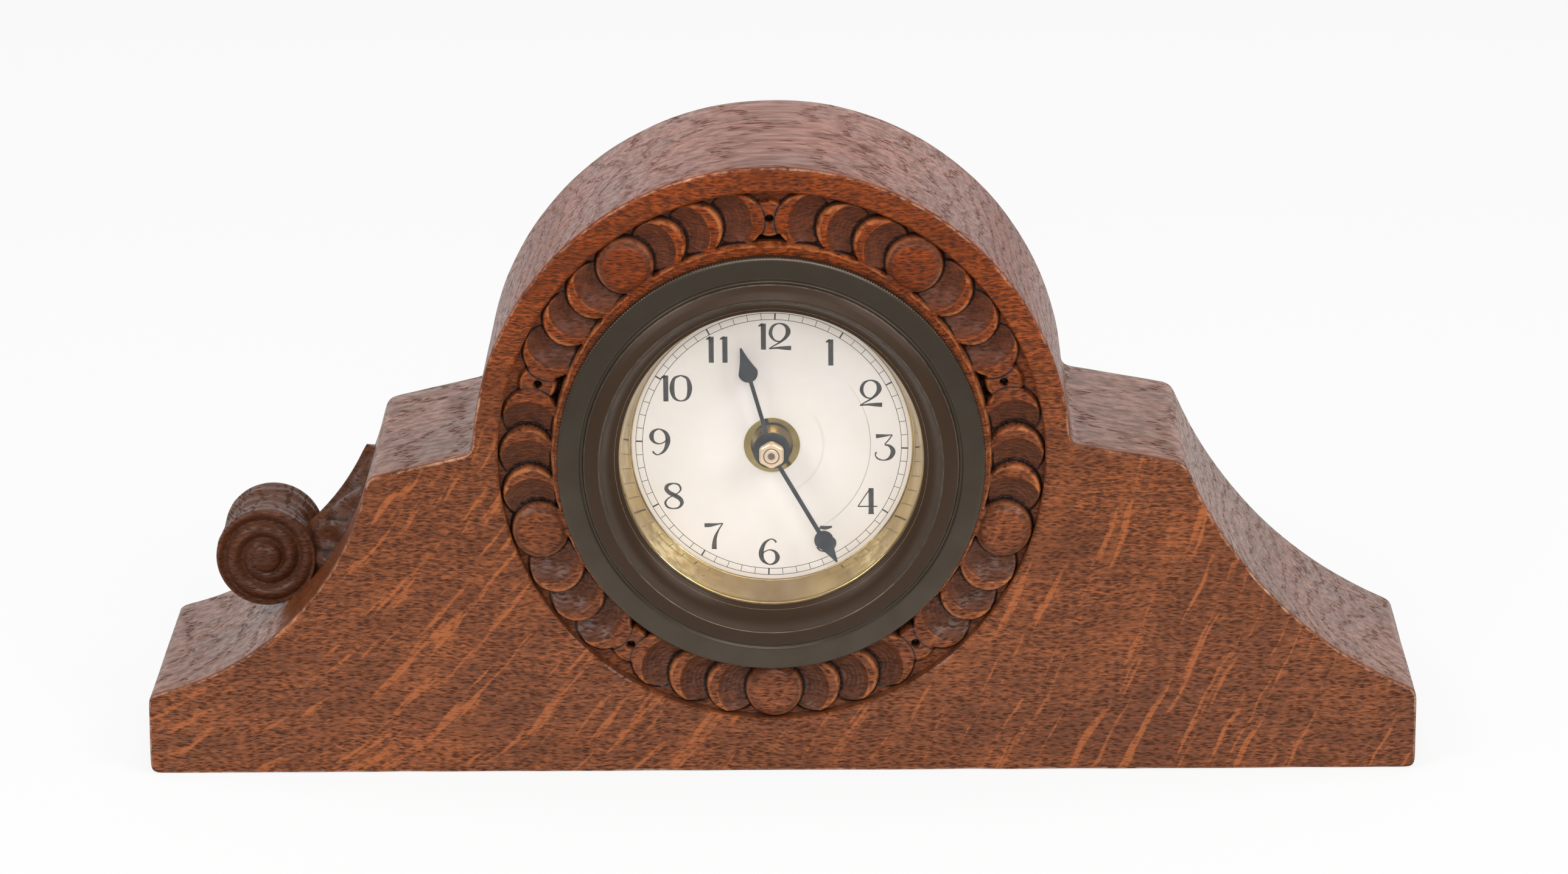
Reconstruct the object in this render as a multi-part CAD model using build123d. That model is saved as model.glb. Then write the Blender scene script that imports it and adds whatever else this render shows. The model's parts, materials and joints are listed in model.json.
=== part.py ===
from build123d import *
import math
import os

# Oak shelf clock: a drum-topped case with swept shoulders round a wind-up timepiece.
#
# The part frame has +X to the viewer's right, +Y away from the viewer and +Z up, in millimetres,
# with its origin in the middle of the case's base. Every piece is drawn as seen from the front:
# x to the right, y up and z towards the viewer, with the dial's axis at x = y = 0 and the case's
# front face at z = 0. place() then stands the piece in the part frame.

os.makedirs("parts", exist_ok=True)

# Oak case
case_width = 336.0
case_depth = 80.0
end_height = 22.0
dial_offset = -2.2
dial_height = 86.5
left_shoulder_out = 108.4
left_shoulder_height = 81.8
left_shoulder_root_height = 88.2
left_sweep_radius = 76.0
right_shoulder_out = 106.2
right_shoulder_height = 84.9
right_shoulder_root_height = 90.2
right_sweep_radius = 112.0
shoulder_round = 2.6
end_round = 2.0
root_round = 0.8
edge_round = 1.4

# Carved ring of overlapping coins round the dial
ring_gap = 0.6
ring_width = 15.1
ring_rim = 6.8
ring_depth = 7.5
group_count = 5
coin_radius = 7.7
coin_step_angle = 9.3
coins_each_side = 3
boss_drop = 0.2
boss_round = 1.6
coin_drop = 1.3
coin_drop_step = 0.7
dish_radius = 9.0
dish_depth = 2.6
dish_shift = 2.4
dart_radius = 3.3
dart_drop = 2.4
dart_hole_radius = 1.0
dart_hole_depth = 3.0

# Leaf scroll carved on the left shoulder
scroll_radius = 13.4
scroll_width = 27.0
scroll_sink = 0.8
scroll_place_share = 0.5
scroll_eye_radius = 4.0
scroll_eye_proud = 1.6
scroll_groove_width = 1.2
scroll_groove_depth = 1.2
scroll_groove_margin = 1.1
scroll_turns = 2
leaf_root_rise = 12.0
leaf_middle_rise = 8.0
leaf_tip_rise = 2.4
leaf_root_half = 9.0
leaf_middle_half = 11.5
leaf_tip_half = 1.2
leaf_back = 3.0

# Brass movement drum, and its fixing to the case
drum_radius = 42.0
drum_wall = 1.0
drum_clearance = 0.4
flange_thickness = 1.2
fixing_count = 4
fixing_radius = 1.1
fixing_length = 12.0
fixing_head_radius = 2.2
fixing_head_height = 1.2
fixing_angle = 45.0

# Bezel, glass and sight ring
lip_overlap = 1.1
cone_width = 4.9
crown_width = 4.2
step_width = 7.0
bezel_edge_proud = 1.0
bezel_edge_low = 2.3
bezel_edge_high = 5.6
bezel_step_front = 7.0
bezel_step_rise = 0.9
bezel_crown_front = 8.7
bezel_lip_front = 0.35
bezel_lip_thickness = 0.5
bezel_cone_sag = 0.9
bezel_seat_width = 4.0
bezel_skirt_wall = 2.95
bezel_clearance = 0.05
collar_clearance = 0.1
fixing_head_clearance = 0.8
glass_thickness = 1.6
glass_clearance = 0.4
sight_ring_length = 11.75
sight_ring_taper = 2.7
sight_ring_clearance = 0.2

# Dial
dial_sheet_thickness = 0.4
dial_plate_thickness = 1.2
dial_hole_radius = 6.9
eyelet_overlap = 0.5
eyelet_wall = 1.3
eyelet_proud = 0.35
dial_foot_radius = 1.6
dial_foot_count = 3
dial_foot_inset = 3.1
dial_foot_angle = 60.0

# Movement plates
plate_clearance = 0.3
plate_thickness = 1.6
plate_gap = 18.0
motion_gap = 6.4
cover_gap = 6.0
cover_thickness = 0.9
pillar_radius = 2.5
pillar_inset = 1.8
pillar_count = 4
pillar_angle = 45.0
screw_radius = 1.0
screw_reach = 5.0
screw_head_radius = 2.0
screw_head_height = 1.1
running_clearance = 0.03

# Going train: teeth, sizes and the direction from each arbor to the next
great_teeth = 60
centre_pinion_teeth = 10
great_wheel_room = 3.0
barrel_angle = 270.0
centre_teeth = 64
third_pinion_teeth = 8
centre_module = 0.4
third_angle = 30.0
third_teeth = 60
fourth_pinion_teeth = 8
third_module = 0.34
fourth_angle = 120.0
fourth_teeth = 60
escape_pinion_teeth = 6
fourth_module = 0.32
escape_angle = 190.0
wheel_thickness = 0.9
great_thickness = 1.6
pinion_overlap = 0.5
crossing_count = 5
crossing_share = 0.82
hub_radius = 2.6
wheel_rim = 1.5
arbor_radius = 0.6

# Tooth form, as shares of the module and of the tooth pitch
wheel_addendum_share = 0.75
pinion_addendum_share = 0.7
dedendum_share = 1.1
wheel_root_share = 0.26
wheel_tip_share = 0.10
pinion_root_share = 0.22
pinion_tip_share = 0.09

# Room between the wheels, along their arbors
centre_wheel_room = 1.7
great_wheel_gap = 1.4
barrel_room = 2.0
third_wheel_height = 6.0
fourth_wheel_height = 10.0
escape_wheel_height = 4.0
balance_height = 8.0

# Barrel, mainspring and winding work
barrel_step = 0.4
barrel_wall = 0.8
barrel_cap_thickness = 0.9
barrel_arbor_radius = 2.2
barrel_core_radius = 3.2
barrel_end_play = 0.3
mainspring_thickness = 0.5
mainspring_clearance = 0.15
mainspring_turns = 8
ratchet_teeth = 24
ratchet_radius = 8.0
ratchet_tooth_height = 1.1
ratchet_thickness = 1.5
ratchet_gap = 0.4
click_angle = 20.0
click_reach_angle = 55.0
click_eye_radius = 2.1
click_eye_room = 1.1
click_play_angle = 1.1
click_tip_lift = 0.35
click_clearance = 0.5
click_spring_thickness = 0.4
click_spring_length = 9.0
click_spring_foot_radius = 1.5
key_hub_radius = 3.8
key_hub_length = 9.0
key_wing_radius = 6.2
key_wing_spread = 8.2
key_bridge_length = 13.0
key_wing_thickness = 2.0
key_gap = 1.0

# Centre arbor, hands and motion work
centre_arbor_radius = 1.2
cannon_wall = 0.6
centre_tube_wall = 0.6
motion_module = 0.5
cannon_teeth = 12
minute_wheel_teeth = 36
hour_module = 0.48
minute_pinion_teeth = 10
hour_teeth = 40
minute_wheel_angle = 60.0
motion_wheel_thickness = 1.0
motion_wheel_gap = 0.6
minute_stud_radius = 1.0
hour_pipe_wall = 0.75
hour_pipe_clearance = 0.05
hour_hand_thickness = 0.8
minute_hand_thickness = 0.6
hand_gap = 2.3
minute_hand_room = 2.9
hour_hand_short = 5.4
hour_boss_radius = 4.9
minute_boss_radius = 2.9
hour_arm_half = 0.5
minute_arm_half = 0.55
spade_length = 9.4
spade_half_width = 2.55
spade_tip_half = 0.25
spade_widest_share = 0.29
spade_lobe_share = 0.08
spade_lobe_width_share = 0.72
spade_waist_share = 0.62
spade_waist_width_share = 0.50
hand_nut_sides = 6
hand_nut_half_flats = 3.0
hand_nut_height = 2.4
hand_nut_round = 0.7
hand_nut_room = 0.65
set_knob_radius = 6.0
set_knob_length = 6.5
set_knob_gap = 1.4
set_knob_rim = 1.0
dial_angle = 1.8
shown_minutes = 24.75
shown_hours = 11.0
minutes_per_turn = 60.0
hours_per_turn = 12.0

# Pin-lever escapement and regulator
escape_teeth = 15
escape_radius = 5.5
escape_tooth_height = 1.2
lever_room = 2.5
lever_gap = 0.5
lever_thickness = 0.8
lever_arm_half = 0.5
lever_fork_half = 0.9
lever_slot_half = 0.4
lever_slot_length = 1.6
lever_arbor_radius = 0.4
fork_clearance = 0.18
pallet_gap = 0.7
pallet_angle = 52.0
pallet_pin_radius = 0.2
balance_radius = 8.0
balance_room = 1.0
balance_rim = 1.4
balance_spoke_half = 0.8
balance_hub_radius = 1.6
balance_thickness = 1.2
roller_radius = 2.5
roller_gap = 0.3
impulse_circle_radius = 2.0
impulse_pin_radius = 0.22
hairspring_thickness = 0.22
hairspring_pitch = 0.75
hairspring_turns = 5
hairspring_width = 0.8
hairspring_gap = 0.5
collet_clearance = 0.1
stud_radius = 0.6
regulator_ring_radius = 3.4
regulator_thickness = 0.8
regulator_reach = 12.0
regulator_arm_half = 0.8
regulator_pin_radius = 0.7
regulator_pin_proud = 2.2
regulator_angle = 180.0
regulator_swing_angle = 18.0
slot_clearance = 0.5

overrun = 1.0
half_angle = 180.0
quarter_angle = 90.0
full_angle = 360.0

# Radii, from the drum outwards to the rim of the case
drum_bore_radius = drum_radius - drum_wall
bezel_lip_radius = drum_bore_radius - lip_overlap
bezel_crown_radius = bezel_lip_radius + cone_width
bezel_step_radius = bezel_crown_radius + crown_width
bezel_radius = bezel_step_radius + step_width
bezel_skirt_radius = bezel_radius - bezel_edge_proud
flange_radius = bezel_skirt_radius - bezel_skirt_wall - bezel_clearance
bezel_seat_radius = drum_radius + bezel_seat_width
fixing_circle_radius = (bezel_seat_radius + flange_radius) / 2
ring_inner_radius = bezel_radius + ring_gap
ring_outer_radius = ring_inner_radius + ring_width
ring_path_radius = (ring_inner_radius + ring_outer_radius) / 2
drum_case_radius = ring_outer_radius + ring_rim
plate_radius = drum_bore_radius - plate_clearance
pillar_circle_radius = plate_radius - pillar_radius - pillar_inset
dial_foot_circle_radius = plate_radius - dial_foot_radius - dial_foot_inset
sight_radius = bezel_lip_radius - sight_ring_taper
minute_hand_length = sight_radius - minute_hand_room
hour_hand_length = minute_hand_length - hour_hand_short
centre_tube_radius = centre_arbor_radius + running_clearance + centre_tube_wall
cannon_radius = centre_arbor_radius + cannon_wall
hour_bore_radius = cannon_radius + hour_pipe_clearance
hour_pipe_radius = hour_bore_radius + hour_pipe_wall

# Levels along the dial's axis, from the front of the case inwards
glass_front = bezel_lip_front - bezel_lip_thickness
glass_back = glass_front - glass_thickness
nut_front = glass_back - hand_nut_room
minute_hand_front = nut_front - hand_nut_height
hour_hand_front = minute_hand_front - minute_hand_thickness - hand_gap
dial_front = glass_back - sight_ring_length
dial_back = dial_front - dial_sheet_thickness - dial_plate_thickness
front_plate_front = dial_back - motion_gap
front_plate_back = front_plate_front - plate_thickness
back_plate_front = front_plate_back - plate_gap
back_plate_back = back_plate_front - plate_thickness
cover_front = back_plate_back - cover_gap
cover_back = cover_front - cover_thickness
key_hub_front = cover_back - key_gap
key_hub_back = key_hub_front - key_hub_length
knob_front = cover_back - set_knob_gap
knob_back = knob_front - set_knob_length
ratchet_front = back_plate_back - ratchet_gap
ratchet_back = ratchet_front - ratchet_thickness

# Heights above the back plate's inner face
centre_wheel_height = plate_gap - centre_wheel_room - wheel_thickness
great_height = centre_wheel_height - great_wheel_gap - great_thickness
lever_height = escape_wheel_height - lever_gap - lever_thickness
hairspring_height = lever_height - hairspring_gap - hairspring_width


def polar(radius, angle, origin=(0, 0)):
    """The point at that radius and angle in degrees, anticlockwise from x, about origin."""
    turn = math.radians(angle)
    return (origin[0] + radius * math.cos(turn), origin[1] + radius * math.sin(turn))


def between(first, second, share):
    """The point at that share of the way from first to second."""
    return tuple(a + (b - a) * share for a, b in zip(first, second))


def disc(radius, low, high):
    """A cylinder on the z axis from low to high."""
    return Pos(0, 0, low) * Cylinder(radius, high - low, align=(Align.CENTER, Align.CENTER, Align.MIN))


def drill(radius, low, high):
    """A cylinder that cuts through everything from low to high."""
    return disc(radius, low - overrun, high + overrun)


def tube(outer, inner, low, high):
    """A straight tube on the z axis from low to high."""
    return disc(outer, low, high) - drill(inner, low, high)


def slab(points, low, high):
    """A flat plate with a straight-sided outline, from low to high."""
    return Pos(0, 0, low) * extrude(make_face(Polyline(*points, close=True)), high - low)


def bar(length, half_width, low, high):
    """A flat bar from the z axis along +x, from low to high."""
    box = Box(length, 2 * half_width, high - low, align=(Align.MIN, Align.CENTER, Align.MIN))
    return Pos(0, 0, low) * box


def at(point, shape):
    """The shape moved to a point of the front view."""
    return Pos(point[0], point[1], 0) * shape


def turned(profile):
    """A ring turned about the z axis from a profile of (radius, z) lines."""
    return revolve(Rot(X=quarter_angle) * make_face(profile), Axis.Z)


def around(count, radius, shape, start):
    """Copies of a shape spaced evenly on a circle about the z axis."""
    return [at(polar(radius, start + k * full_angle / count), shape) for k in range(count)]


def at_pillars(shape):
    """Copies of a shape at the places of the pillars."""
    return around(pillar_count, pillar_circle_radius, shape, pillar_angle)


def place(shape):
    """Stands a piece drawn about the dial's axis in the part frame."""
    return Pos(0, -case_depth / 2, 0) * Rot(X=quarter_angle) * at((dial_offset, dial_height), shape)


def inside(height):
    """The level at a height above the back plate's inner face."""
    return back_plate_front + height


# Gears and where their arbors stand

def centre_distance(module, first, second):
    """Distance between the arbors of two wheels in mesh."""
    return module * (first + second) / 2


def tip_radius(teeth, module, pinion=False):
    """Radius of a wheel over its teeth."""
    return module * (teeth / 2 + (pinion_addendum_share if pinion else wheel_addendum_share))


def root_radius(teeth, module):
    """Radius of a wheel at the bottom of its teeth."""
    return module * (teeth / 2 - dedendum_share)


def meshed(direction, driver_teeth, driver_phase, follower_teeth):
    """Angle of a follower's first tooth so that its gap meets the driver's tooth."""
    lead = (driver_phase - direction) * driver_teeth / follower_teeth
    return direction + half_angle + half_angle / follower_teeth - lead


great_reach = centre_distance(1, great_teeth, centre_pinion_teeth) + tip_radius(great_teeth, 1)
great_module = (drum_bore_radius - great_wheel_room) / great_reach
great_phase = barrel_angle - half_angle
centre_pinion_phase = meshed(great_phase, great_teeth, great_phase, centre_pinion_teeth)
third_phase = meshed(third_angle, centre_teeth, 0, third_pinion_teeth)
fourth_phase = meshed(fourth_angle, third_teeth, 0, fourth_pinion_teeth)
escape_phase = meshed(escape_angle, fourth_teeth, 0, escape_pinion_teeth)
cannon_phase = meshed(minute_wheel_angle - half_angle, minute_wheel_teeth, 0, cannon_teeth)
hour_phase = meshed(minute_wheel_angle - half_angle, minute_pinion_teeth, 0, hour_teeth)

barrel_distance = centre_distance(great_module, great_teeth, centre_pinion_teeth)
third_distance = centre_distance(centre_module, centre_teeth, third_pinion_teeth)
fourth_distance = centre_distance(third_module, third_teeth, fourth_pinion_teeth)
escape_distance = centre_distance(fourth_module, fourth_teeth, escape_pinion_teeth)
minute_wheel_distance = centre_distance(motion_module, cannon_teeth, minute_wheel_teeth)
lever_distance = escape_radius + lever_room
balance_distance = balance_radius + balance_room

centre_at = (0, 0)
barrel_at = polar(barrel_distance, barrel_angle)
third_at = polar(third_distance, third_angle)
fourth_at = polar(fourth_distance, fourth_angle, third_at)
escape_at = polar(escape_distance, escape_angle, fourth_at)
lever_at = polar(lever_distance, escape_angle, escape_at)
balance_at = polar(balance_distance, escape_angle, lever_at)
minute_wheel_at = polar(minute_wheel_distance, minute_wheel_angle)

barrel_radius = root_radius(great_teeth, great_module) - barrel_step
barrel_bore_radius = barrel_radius - barrel_wall
ratchet_root_radius = ratchet_radius - ratchet_tooth_height
click_pivot_radius = ratchet_radius + click_eye_radius + click_eye_room
click_pivot_direction = click_angle - click_reach_angle
click_pivot_at = polar(click_pivot_radius, click_pivot_direction, barrel_at)
hairspring_inner_radius = arbor_radius + collet_clearance
hairspring_reach = hairspring_inner_radius + hairspring_turns * hairspring_pitch + hairspring_thickness
hairspring_stud_at = (balance_at[0] + hairspring_reach + stud_radius, balance_at[1])


def gear(teeth, module, phase, low, high, pinion=False):
    """A toothed disc with straight-flanked teeth, the first one at the angle phase."""
    pitch = full_angle / teeth
    root_turn = (pinion_root_share if pinion else wheel_root_share) * pitch
    tip_turn = (pinion_tip_share if pinion else wheel_tip_share) * pitch
    tip = tip_radius(teeth, module, pinion)
    root = root_radius(teeth, module)
    points = []
    for k in range(teeth):
        middle = phase + k * pitch
        points += [
            polar(root, middle - root_turn),
            polar(tip, middle - tip_turn),
            polar(tip, middle + tip_turn),
            polar(root, middle + root_turn),
        ]
    return slab(points, low, high)


def saw_wheel(teeth, tip, root, phase, low, high):
    """A disc of pointed teeth, each with one upright face."""
    pitch = full_angle / teeth
    points = []
    for k in range(teeth):
        points += [polar(root, phase + k * pitch), polar(tip, phase + k * pitch)]
    return slab(points, low, high)


def crossings(root, low, high):
    """Round windows between the hub and the rim of a wheel with that root radius."""
    middle = (root - wheel_rim + hub_radius) / 2
    window = min(root - wheel_rim - middle, crossing_share * middle * math.sin(math.pi / crossing_count))
    return around(crossing_count, middle, drill(window, low, high), 0)


def spiral(inner_radius, thickness, pitch, turns, low, high):
    """A flat spiral strip made of half turns about two centres half a pitch apart."""
    strips = []
    for k in range(2 * turns):
        upper = k % 2 == 0
        radius = inner_radius + thickness / 2 + k * pitch / 2
        reach = radius + thickness
        side = Align.MIN if upper else Align.MAX
        half = Pos(0, 0, low) * Box(2 * reach, reach, high - low, align=(Align.CENTER, side, Align.MIN))
        ring = tube(radius + thickness / 2, radius - thickness / 2, low, high)
        strips.append(Pos(0 if upper else -pitch / 2, 0, 0) * (ring & half))
    return strips[0].fuse(*strips[1:])


# Case

def sweep(start, end, radius):
    """Middle point and centre of the hollow arc of that radius between a shoulder and an end."""
    chord = (end[0] - start[0], end[1] - start[1])
    length = math.hypot(*chord)
    rise = math.sqrt(radius**2 - (length / 2) ** 2)
    outward = (-chord[1] / length, chord[0] / length)
    outward = outward if outward[1] > 0 else (-outward[0], -outward[1])
    middle = between(start, end, 1 / 2)
    hollow = (middle[0] + rise * outward[0], middle[1] + rise * outward[1])
    return (hollow[0] - radius * outward[0], hollow[1] - radius * outward[1]), hollow


def case_corners():
    """Corners of the case's outline about the dial's axis, by name."""
    left_end = -case_width / 2 - dial_offset
    right_end = case_width / 2 - dial_offset
    base = -dial_height
    root_left = left_shoulder_root_height - dial_height
    root_right = right_shoulder_root_height - dial_height
    return {
        "base_left": (left_end, base),
        "base_right": (right_end, base),
        "end_right": (right_end, base + end_height),
        "shoulder_right": (right_shoulder_out - dial_offset, right_shoulder_height + base),
        "root_right": (math.sqrt(drum_case_radius**2 - root_right**2), root_right),
        "root_left": (-math.sqrt(drum_case_radius**2 - root_left**2), root_left),
        "shoulder_left": (-left_shoulder_out - dial_offset, left_shoulder_height + base),
        "end_left": (left_end, base + end_height),
    }


def case_block():
    """The oak block before it is bored and carved, with its edges eased."""
    corner = case_corners()
    right_middle, _ = sweep(corner["shoulder_right"], corner["end_right"], right_sweep_radius)
    left_middle, _ = sweep(corner["shoulder_left"], corner["end_left"], left_sweep_radius)
    outline = make_face(
        [
            Line(corner["base_left"], corner["base_right"]),
            Line(corner["base_right"], corner["end_right"]),
            ThreePointArc(corner["end_right"], right_middle, corner["shoulder_right"]),
            Line(corner["shoulder_right"], corner["root_right"]),
            ThreePointArc(corner["root_right"], (0, drum_case_radius), corner["root_left"]),
            Line(corner["root_left"], corner["shoulder_left"]),
            ThreePointArc(corner["shoulder_left"], left_middle, corner["end_left"]),
            Line(corner["end_left"], corner["base_left"]),
        ]
    )
    rounds = {
        shoulder_round: ("shoulder_left", "shoulder_right"),
        end_round: ("end_left", "end_right", "base_left", "base_right"),
        root_round: ("root_left", "root_right"),
    }
    for radius, names in rounds.items():
        vertices = outline.vertices()
        nearest = [min(vertices, key=lambda v: math.dist((v.X, v.Y), corner[n])) for n in names]
        outline = fillet(nearest, radius)
    block = extrude(outline, -case_depth)
    levels = block.edges().group_by(Axis.Z)
    return fillet(levels[-1] + levels[0], edge_round)


def on_ring(angle):
    """The point of the carved ring at an angle to the left of the top."""
    return polar(ring_path_radius, quarter_angle + angle)


def coin(order, side):
    """A dished coin, order places from its boss, and the room that it takes in the ring."""
    angle = side * order * coin_step_angle
    top = -coin_drop - coin_drop_step * (order - 1)
    low = -ring_depth - overrun
    towards_boss = polar(dish_shift, angle + quarter_angle - side * quarter_angle)
    dish = at(towards_boss, Pos(0, 0, top + dish_radius - dish_depth) * Sphere(dish_radius))
    where = on_ring(angle)
    return at(where, disc(coin_radius, low, top) - dish), at(where, disc(coin_radius, low, overrun))


def carved_group():
    """A round boss with coins overlapping away from it on both sides."""
    low = -ring_depth - overrun
    boss = disc(coin_radius, low, -boss_drop)
    boss = fillet(boss.edges().group_by(Axis.Z)[-1], boss_round)
    stack = [coin(order, side) for order in range(coins_each_side, 0, -1) for side in (1, -1)]
    stack.append((at(on_ring(0), boss), at(on_ring(0), disc(coin_radius, low, overrun))))
    group, _ = stack[0]
    for body, room in stack[1:]:
        group = (group - room) + body
    return group


def carved_dart():
    """A low peg with a drilled hole, between two groups of coins."""
    peg = disc(dart_radius, -ring_depth - overrun, -dart_drop)
    return at(on_ring(0), peg - disc(dart_hole_radius, -dart_drop - dart_hole_depth, overrun))


def case_body():
    """The oak case: bored for the drum from front to back and carved round the dial."""
    bore = drill(drum_radius + drum_clearance, -case_depth, 0)
    recess = tube(ring_outer_radius, ring_inner_radius, -ring_depth, overrun)
    step = full_angle / group_count
    group = carved_group()
    dart = carved_dart()
    carving = [Rot(Z=(k + 1 / 2) * step) * group for k in range(group_count)]
    carving += [Rot(Z=k * step) * dart for k in range(group_count)]
    pilot = disc(fixing_radius, -fixing_length, overrun)
    pilots = around(fixing_count, fixing_circle_radius, pilot, fixing_angle)
    return (case_block() - bore - recess).fuse(*carving) - pilots


def shoulder_carving():
    """A leaf scroll on the left sweep: a coil low down and a leaf that runs up to the shoulder."""
    corner = case_corners()
    shoulder, end = corner["shoulder_left"], corner["end_left"]
    slope_middle, hollow = sweep(shoulder, end, left_sweep_radius)
    end_turn = math.degrees(math.atan2(end[1] - hollow[1], end[0] - hollow[0]))
    shoulder_turn = math.degrees(math.atan2(shoulder[1] - hollow[1], shoulder[0] - hollow[0]))
    root_turn = end_turn + (shoulder_turn - end_turn) * scroll_place_share
    eye = polar(left_sweep_radius - scroll_radius + scroll_sink, root_turn, hollow)
    back, front = -(case_depth + scroll_width) / 2, -(case_depth - scroll_width) / 2

    coil = at(eye, disc(scroll_radius, back, front))
    hub = at(eye, disc(scroll_eye_radius, back - scroll_eye_proud, front + scroll_eye_proud))
    groove_inner = scroll_eye_radius + scroll_groove_margin
    groove_outer = scroll_radius - scroll_groove_margin
    groove_pitch = (groove_outer - groove_inner - scroll_groove_width) / scroll_turns
    groove_ends = (-scroll_groove_depth, scroll_groove_depth)
    groove = spiral(groove_inner, scroll_groove_width, groove_pitch, scroll_turns, *groove_ends)
    grooves = [at(eye, Pos(0, 0, level) * groove) for level in (back, front)]

    def on_slope(rise, turn):
        return polar(left_sweep_radius - rise, turn, hollow)

    tip_turn = math.degrees(math.atan2(shoulder[1] - leaf_back - hollow[1], shoulder[0] - hollow[0]))
    middle_turn = (root_turn + tip_turn) / 2
    root_top = on_slope(leaf_root_rise, root_turn)
    tip_top = on_slope(leaf_tip_rise, tip_turn)
    tip_foot = on_slope(-shoulder_round, tip_turn)
    root_foot = on_slope(-shoulder_round, root_turn)
    side_view = make_face(
        [
            ThreePointArc(root_top, on_slope(leaf_middle_rise, middle_turn), tip_top),
            Line(tip_top, tip_foot),
            ThreePointArc(tip_foot, on_slope(-shoulder_round, middle_turn), root_foot),
            Line(root_foot, root_top),
        ]
    )
    band = Pos(0, 0, back) * extrude(side_view, front - back)
    run = (shoulder[0] - end[0], shoulder[1] - end[1])
    away = (hollow[0] - slope_middle[0], hollow[1] - slope_middle[1])
    leaf_plane = Plane(
        origin=(slope_middle[0], slope_middle[1], -case_depth / 2), x_dir=(*run, 0), z_dir=(*away, 0)
    )
    start = leaf_plane.to_local_coords(Vector(*root_foot, 0)).X
    stop = leaf_plane.to_local_coords(Vector(*tip_top, 0)).X
    half = (start + stop) / 2
    plan = make_face(
        [
            Line((start, -leaf_root_half), (start, leaf_root_half)),
            ThreePointArc((start, leaf_root_half), (half, leaf_middle_half), (stop, leaf_tip_half)),
            Line((stop, leaf_tip_half), (stop, -leaf_tip_half)),
            ThreePointArc((stop, -leaf_tip_half), (half, -leaf_middle_half), (start, -leaf_root_half)),
        ]
    )
    outline = extrude(leaf_plane * plan, left_sweep_radius, both=True)
    return (coil - grooves).fuse(hub, band & outline) - case_block()


# Drum, bezel, glass and dial

def drum_can():
    """Brass drum that carries the movement, with the flange that is screwed to the case."""
    shell = tube(drum_radius, drum_bore_radius, cover_front, flange_thickness)
    flange = tube(flange_radius, drum_bore_radius, 0, flange_thickness)
    hole = drill(fixing_radius, 0, flange_thickness)
    return (shell + flange) - around(fixing_count, fixing_circle_radius, hole, fixing_angle)


def fixing_screws():
    """Screws that hold the drum's flange to the oak, under the bezel."""
    head = disc(fixing_head_radius, flange_thickness, flange_thickness + fixing_head_height)
    shank = disc(fixing_radius, -fixing_length, flange_thickness)
    return around(fixing_count, fixing_circle_radius, head + shank, fixing_angle)


def bezel():
    """Dark turned bezel pushed over the drum's flange, with a hollow cone down to the glass."""
    collar = drum_bore_radius - collar_clearance
    skirt = flange_radius + bezel_clearance
    pocket_roof = flange_thickness + fixing_head_height + fixing_head_clearance
    step_foot = (bezel_step_radius, bezel_step_front - bezel_step_rise)
    step = (bezel_step_radius, bezel_step_front)
    crown = (bezel_crown_radius, bezel_crown_front)
    lip = (bezel_lip_radius, bezel_lip_front)
    cone_middle = between(crown, lip, 1 / 2)
    cone_middle = (cone_middle[0] + bezel_cone_sag, cone_middle[1] - bezel_cone_sag)
    rise_middle = between(step, crown, 1 / 2)
    rise_middle = (rise_middle[0], rise_middle[1] + bezel_step_rise / 2)
    edge = Polyline(
        (bezel_skirt_radius, 0),
        (bezel_skirt_radius, bezel_edge_low),
        (bezel_radius, bezel_edge_low),
        (bezel_radius, bezel_edge_high),
        step_foot,
        step,
    )
    under = Polyline(
        lip,
        (bezel_lip_radius, glass_front),
        (collar, glass_front),
        (collar, flange_thickness),
        (bezel_seat_radius, flange_thickness),
        (bezel_seat_radius, pocket_roof),
        (skirt, pocket_roof),
        (skirt, 0),
        (bezel_skirt_radius, 0),
    )
    rise = ThreePointArc(step, rise_middle, crown)
    cone = ThreePointArc(crown, cone_middle, lip)
    return turned([edge, rise, cone, under])


def glass():
    """Flat dial glass behind the bezel's lip."""
    return disc(drum_bore_radius - glass_clearance, glass_back, glass_front)


def sight_ring():
    """Brass ring between the glass and the dial, narrowing towards the dial."""
    outer = drum_bore_radius - sight_ring_clearance
    return turned(
        Polyline(
            (bezel_lip_radius, glass_back),
            (outer, glass_back),
            (outer, dial_front),
            (sight_radius, dial_front),
            close=True,
        )
    )


def dial_sheet():
    """Silvered dial sheet that carries the numerals."""
    return tube(plate_radius, dial_hole_radius, dial_front - dial_sheet_thickness, dial_front)


def dial_plate():
    """Brass disc behind the dial sheet."""
    return tube(plate_radius, dial_hole_radius, dial_back, dial_front - dial_sheet_thickness)


def dial_eyelet():
    """Brass eyelet that lines the dial's middle hole."""
    bore = dial_hole_radius - eyelet_wall
    barrel_part = tube(dial_hole_radius, bore, dial_back, dial_front)
    return barrel_part + tube(dial_hole_radius + eyelet_overlap, bore, dial_front, dial_front + eyelet_proud)


def dial_feet():
    """Posts between the dial and the front plate."""
    foot = disc(dial_foot_radius, front_plate_front, dial_back)
    return around(dial_foot_count, dial_foot_circle_radius, foot, dial_foot_angle)


# Plates, pillars and back cover

def plate(low, high):
    """A round movement plate with its pivot holes and screw holes."""
    pivots = {
        centre_at: centre_arbor_radius,
        barrel_at: barrel_arbor_radius,
        third_at: arbor_radius,
        fourth_at: arbor_radius,
        escape_at: arbor_radius,
        lever_at: lever_arbor_radius,
        balance_at: arbor_radius,
    }
    holes = [at(where, drill(radius + running_clearance, low, high)) for where, radius in pivots.items()]
    return disc(plate_radius, low, high) - holes - at_pillars(drill(screw_radius, low, high))


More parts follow.
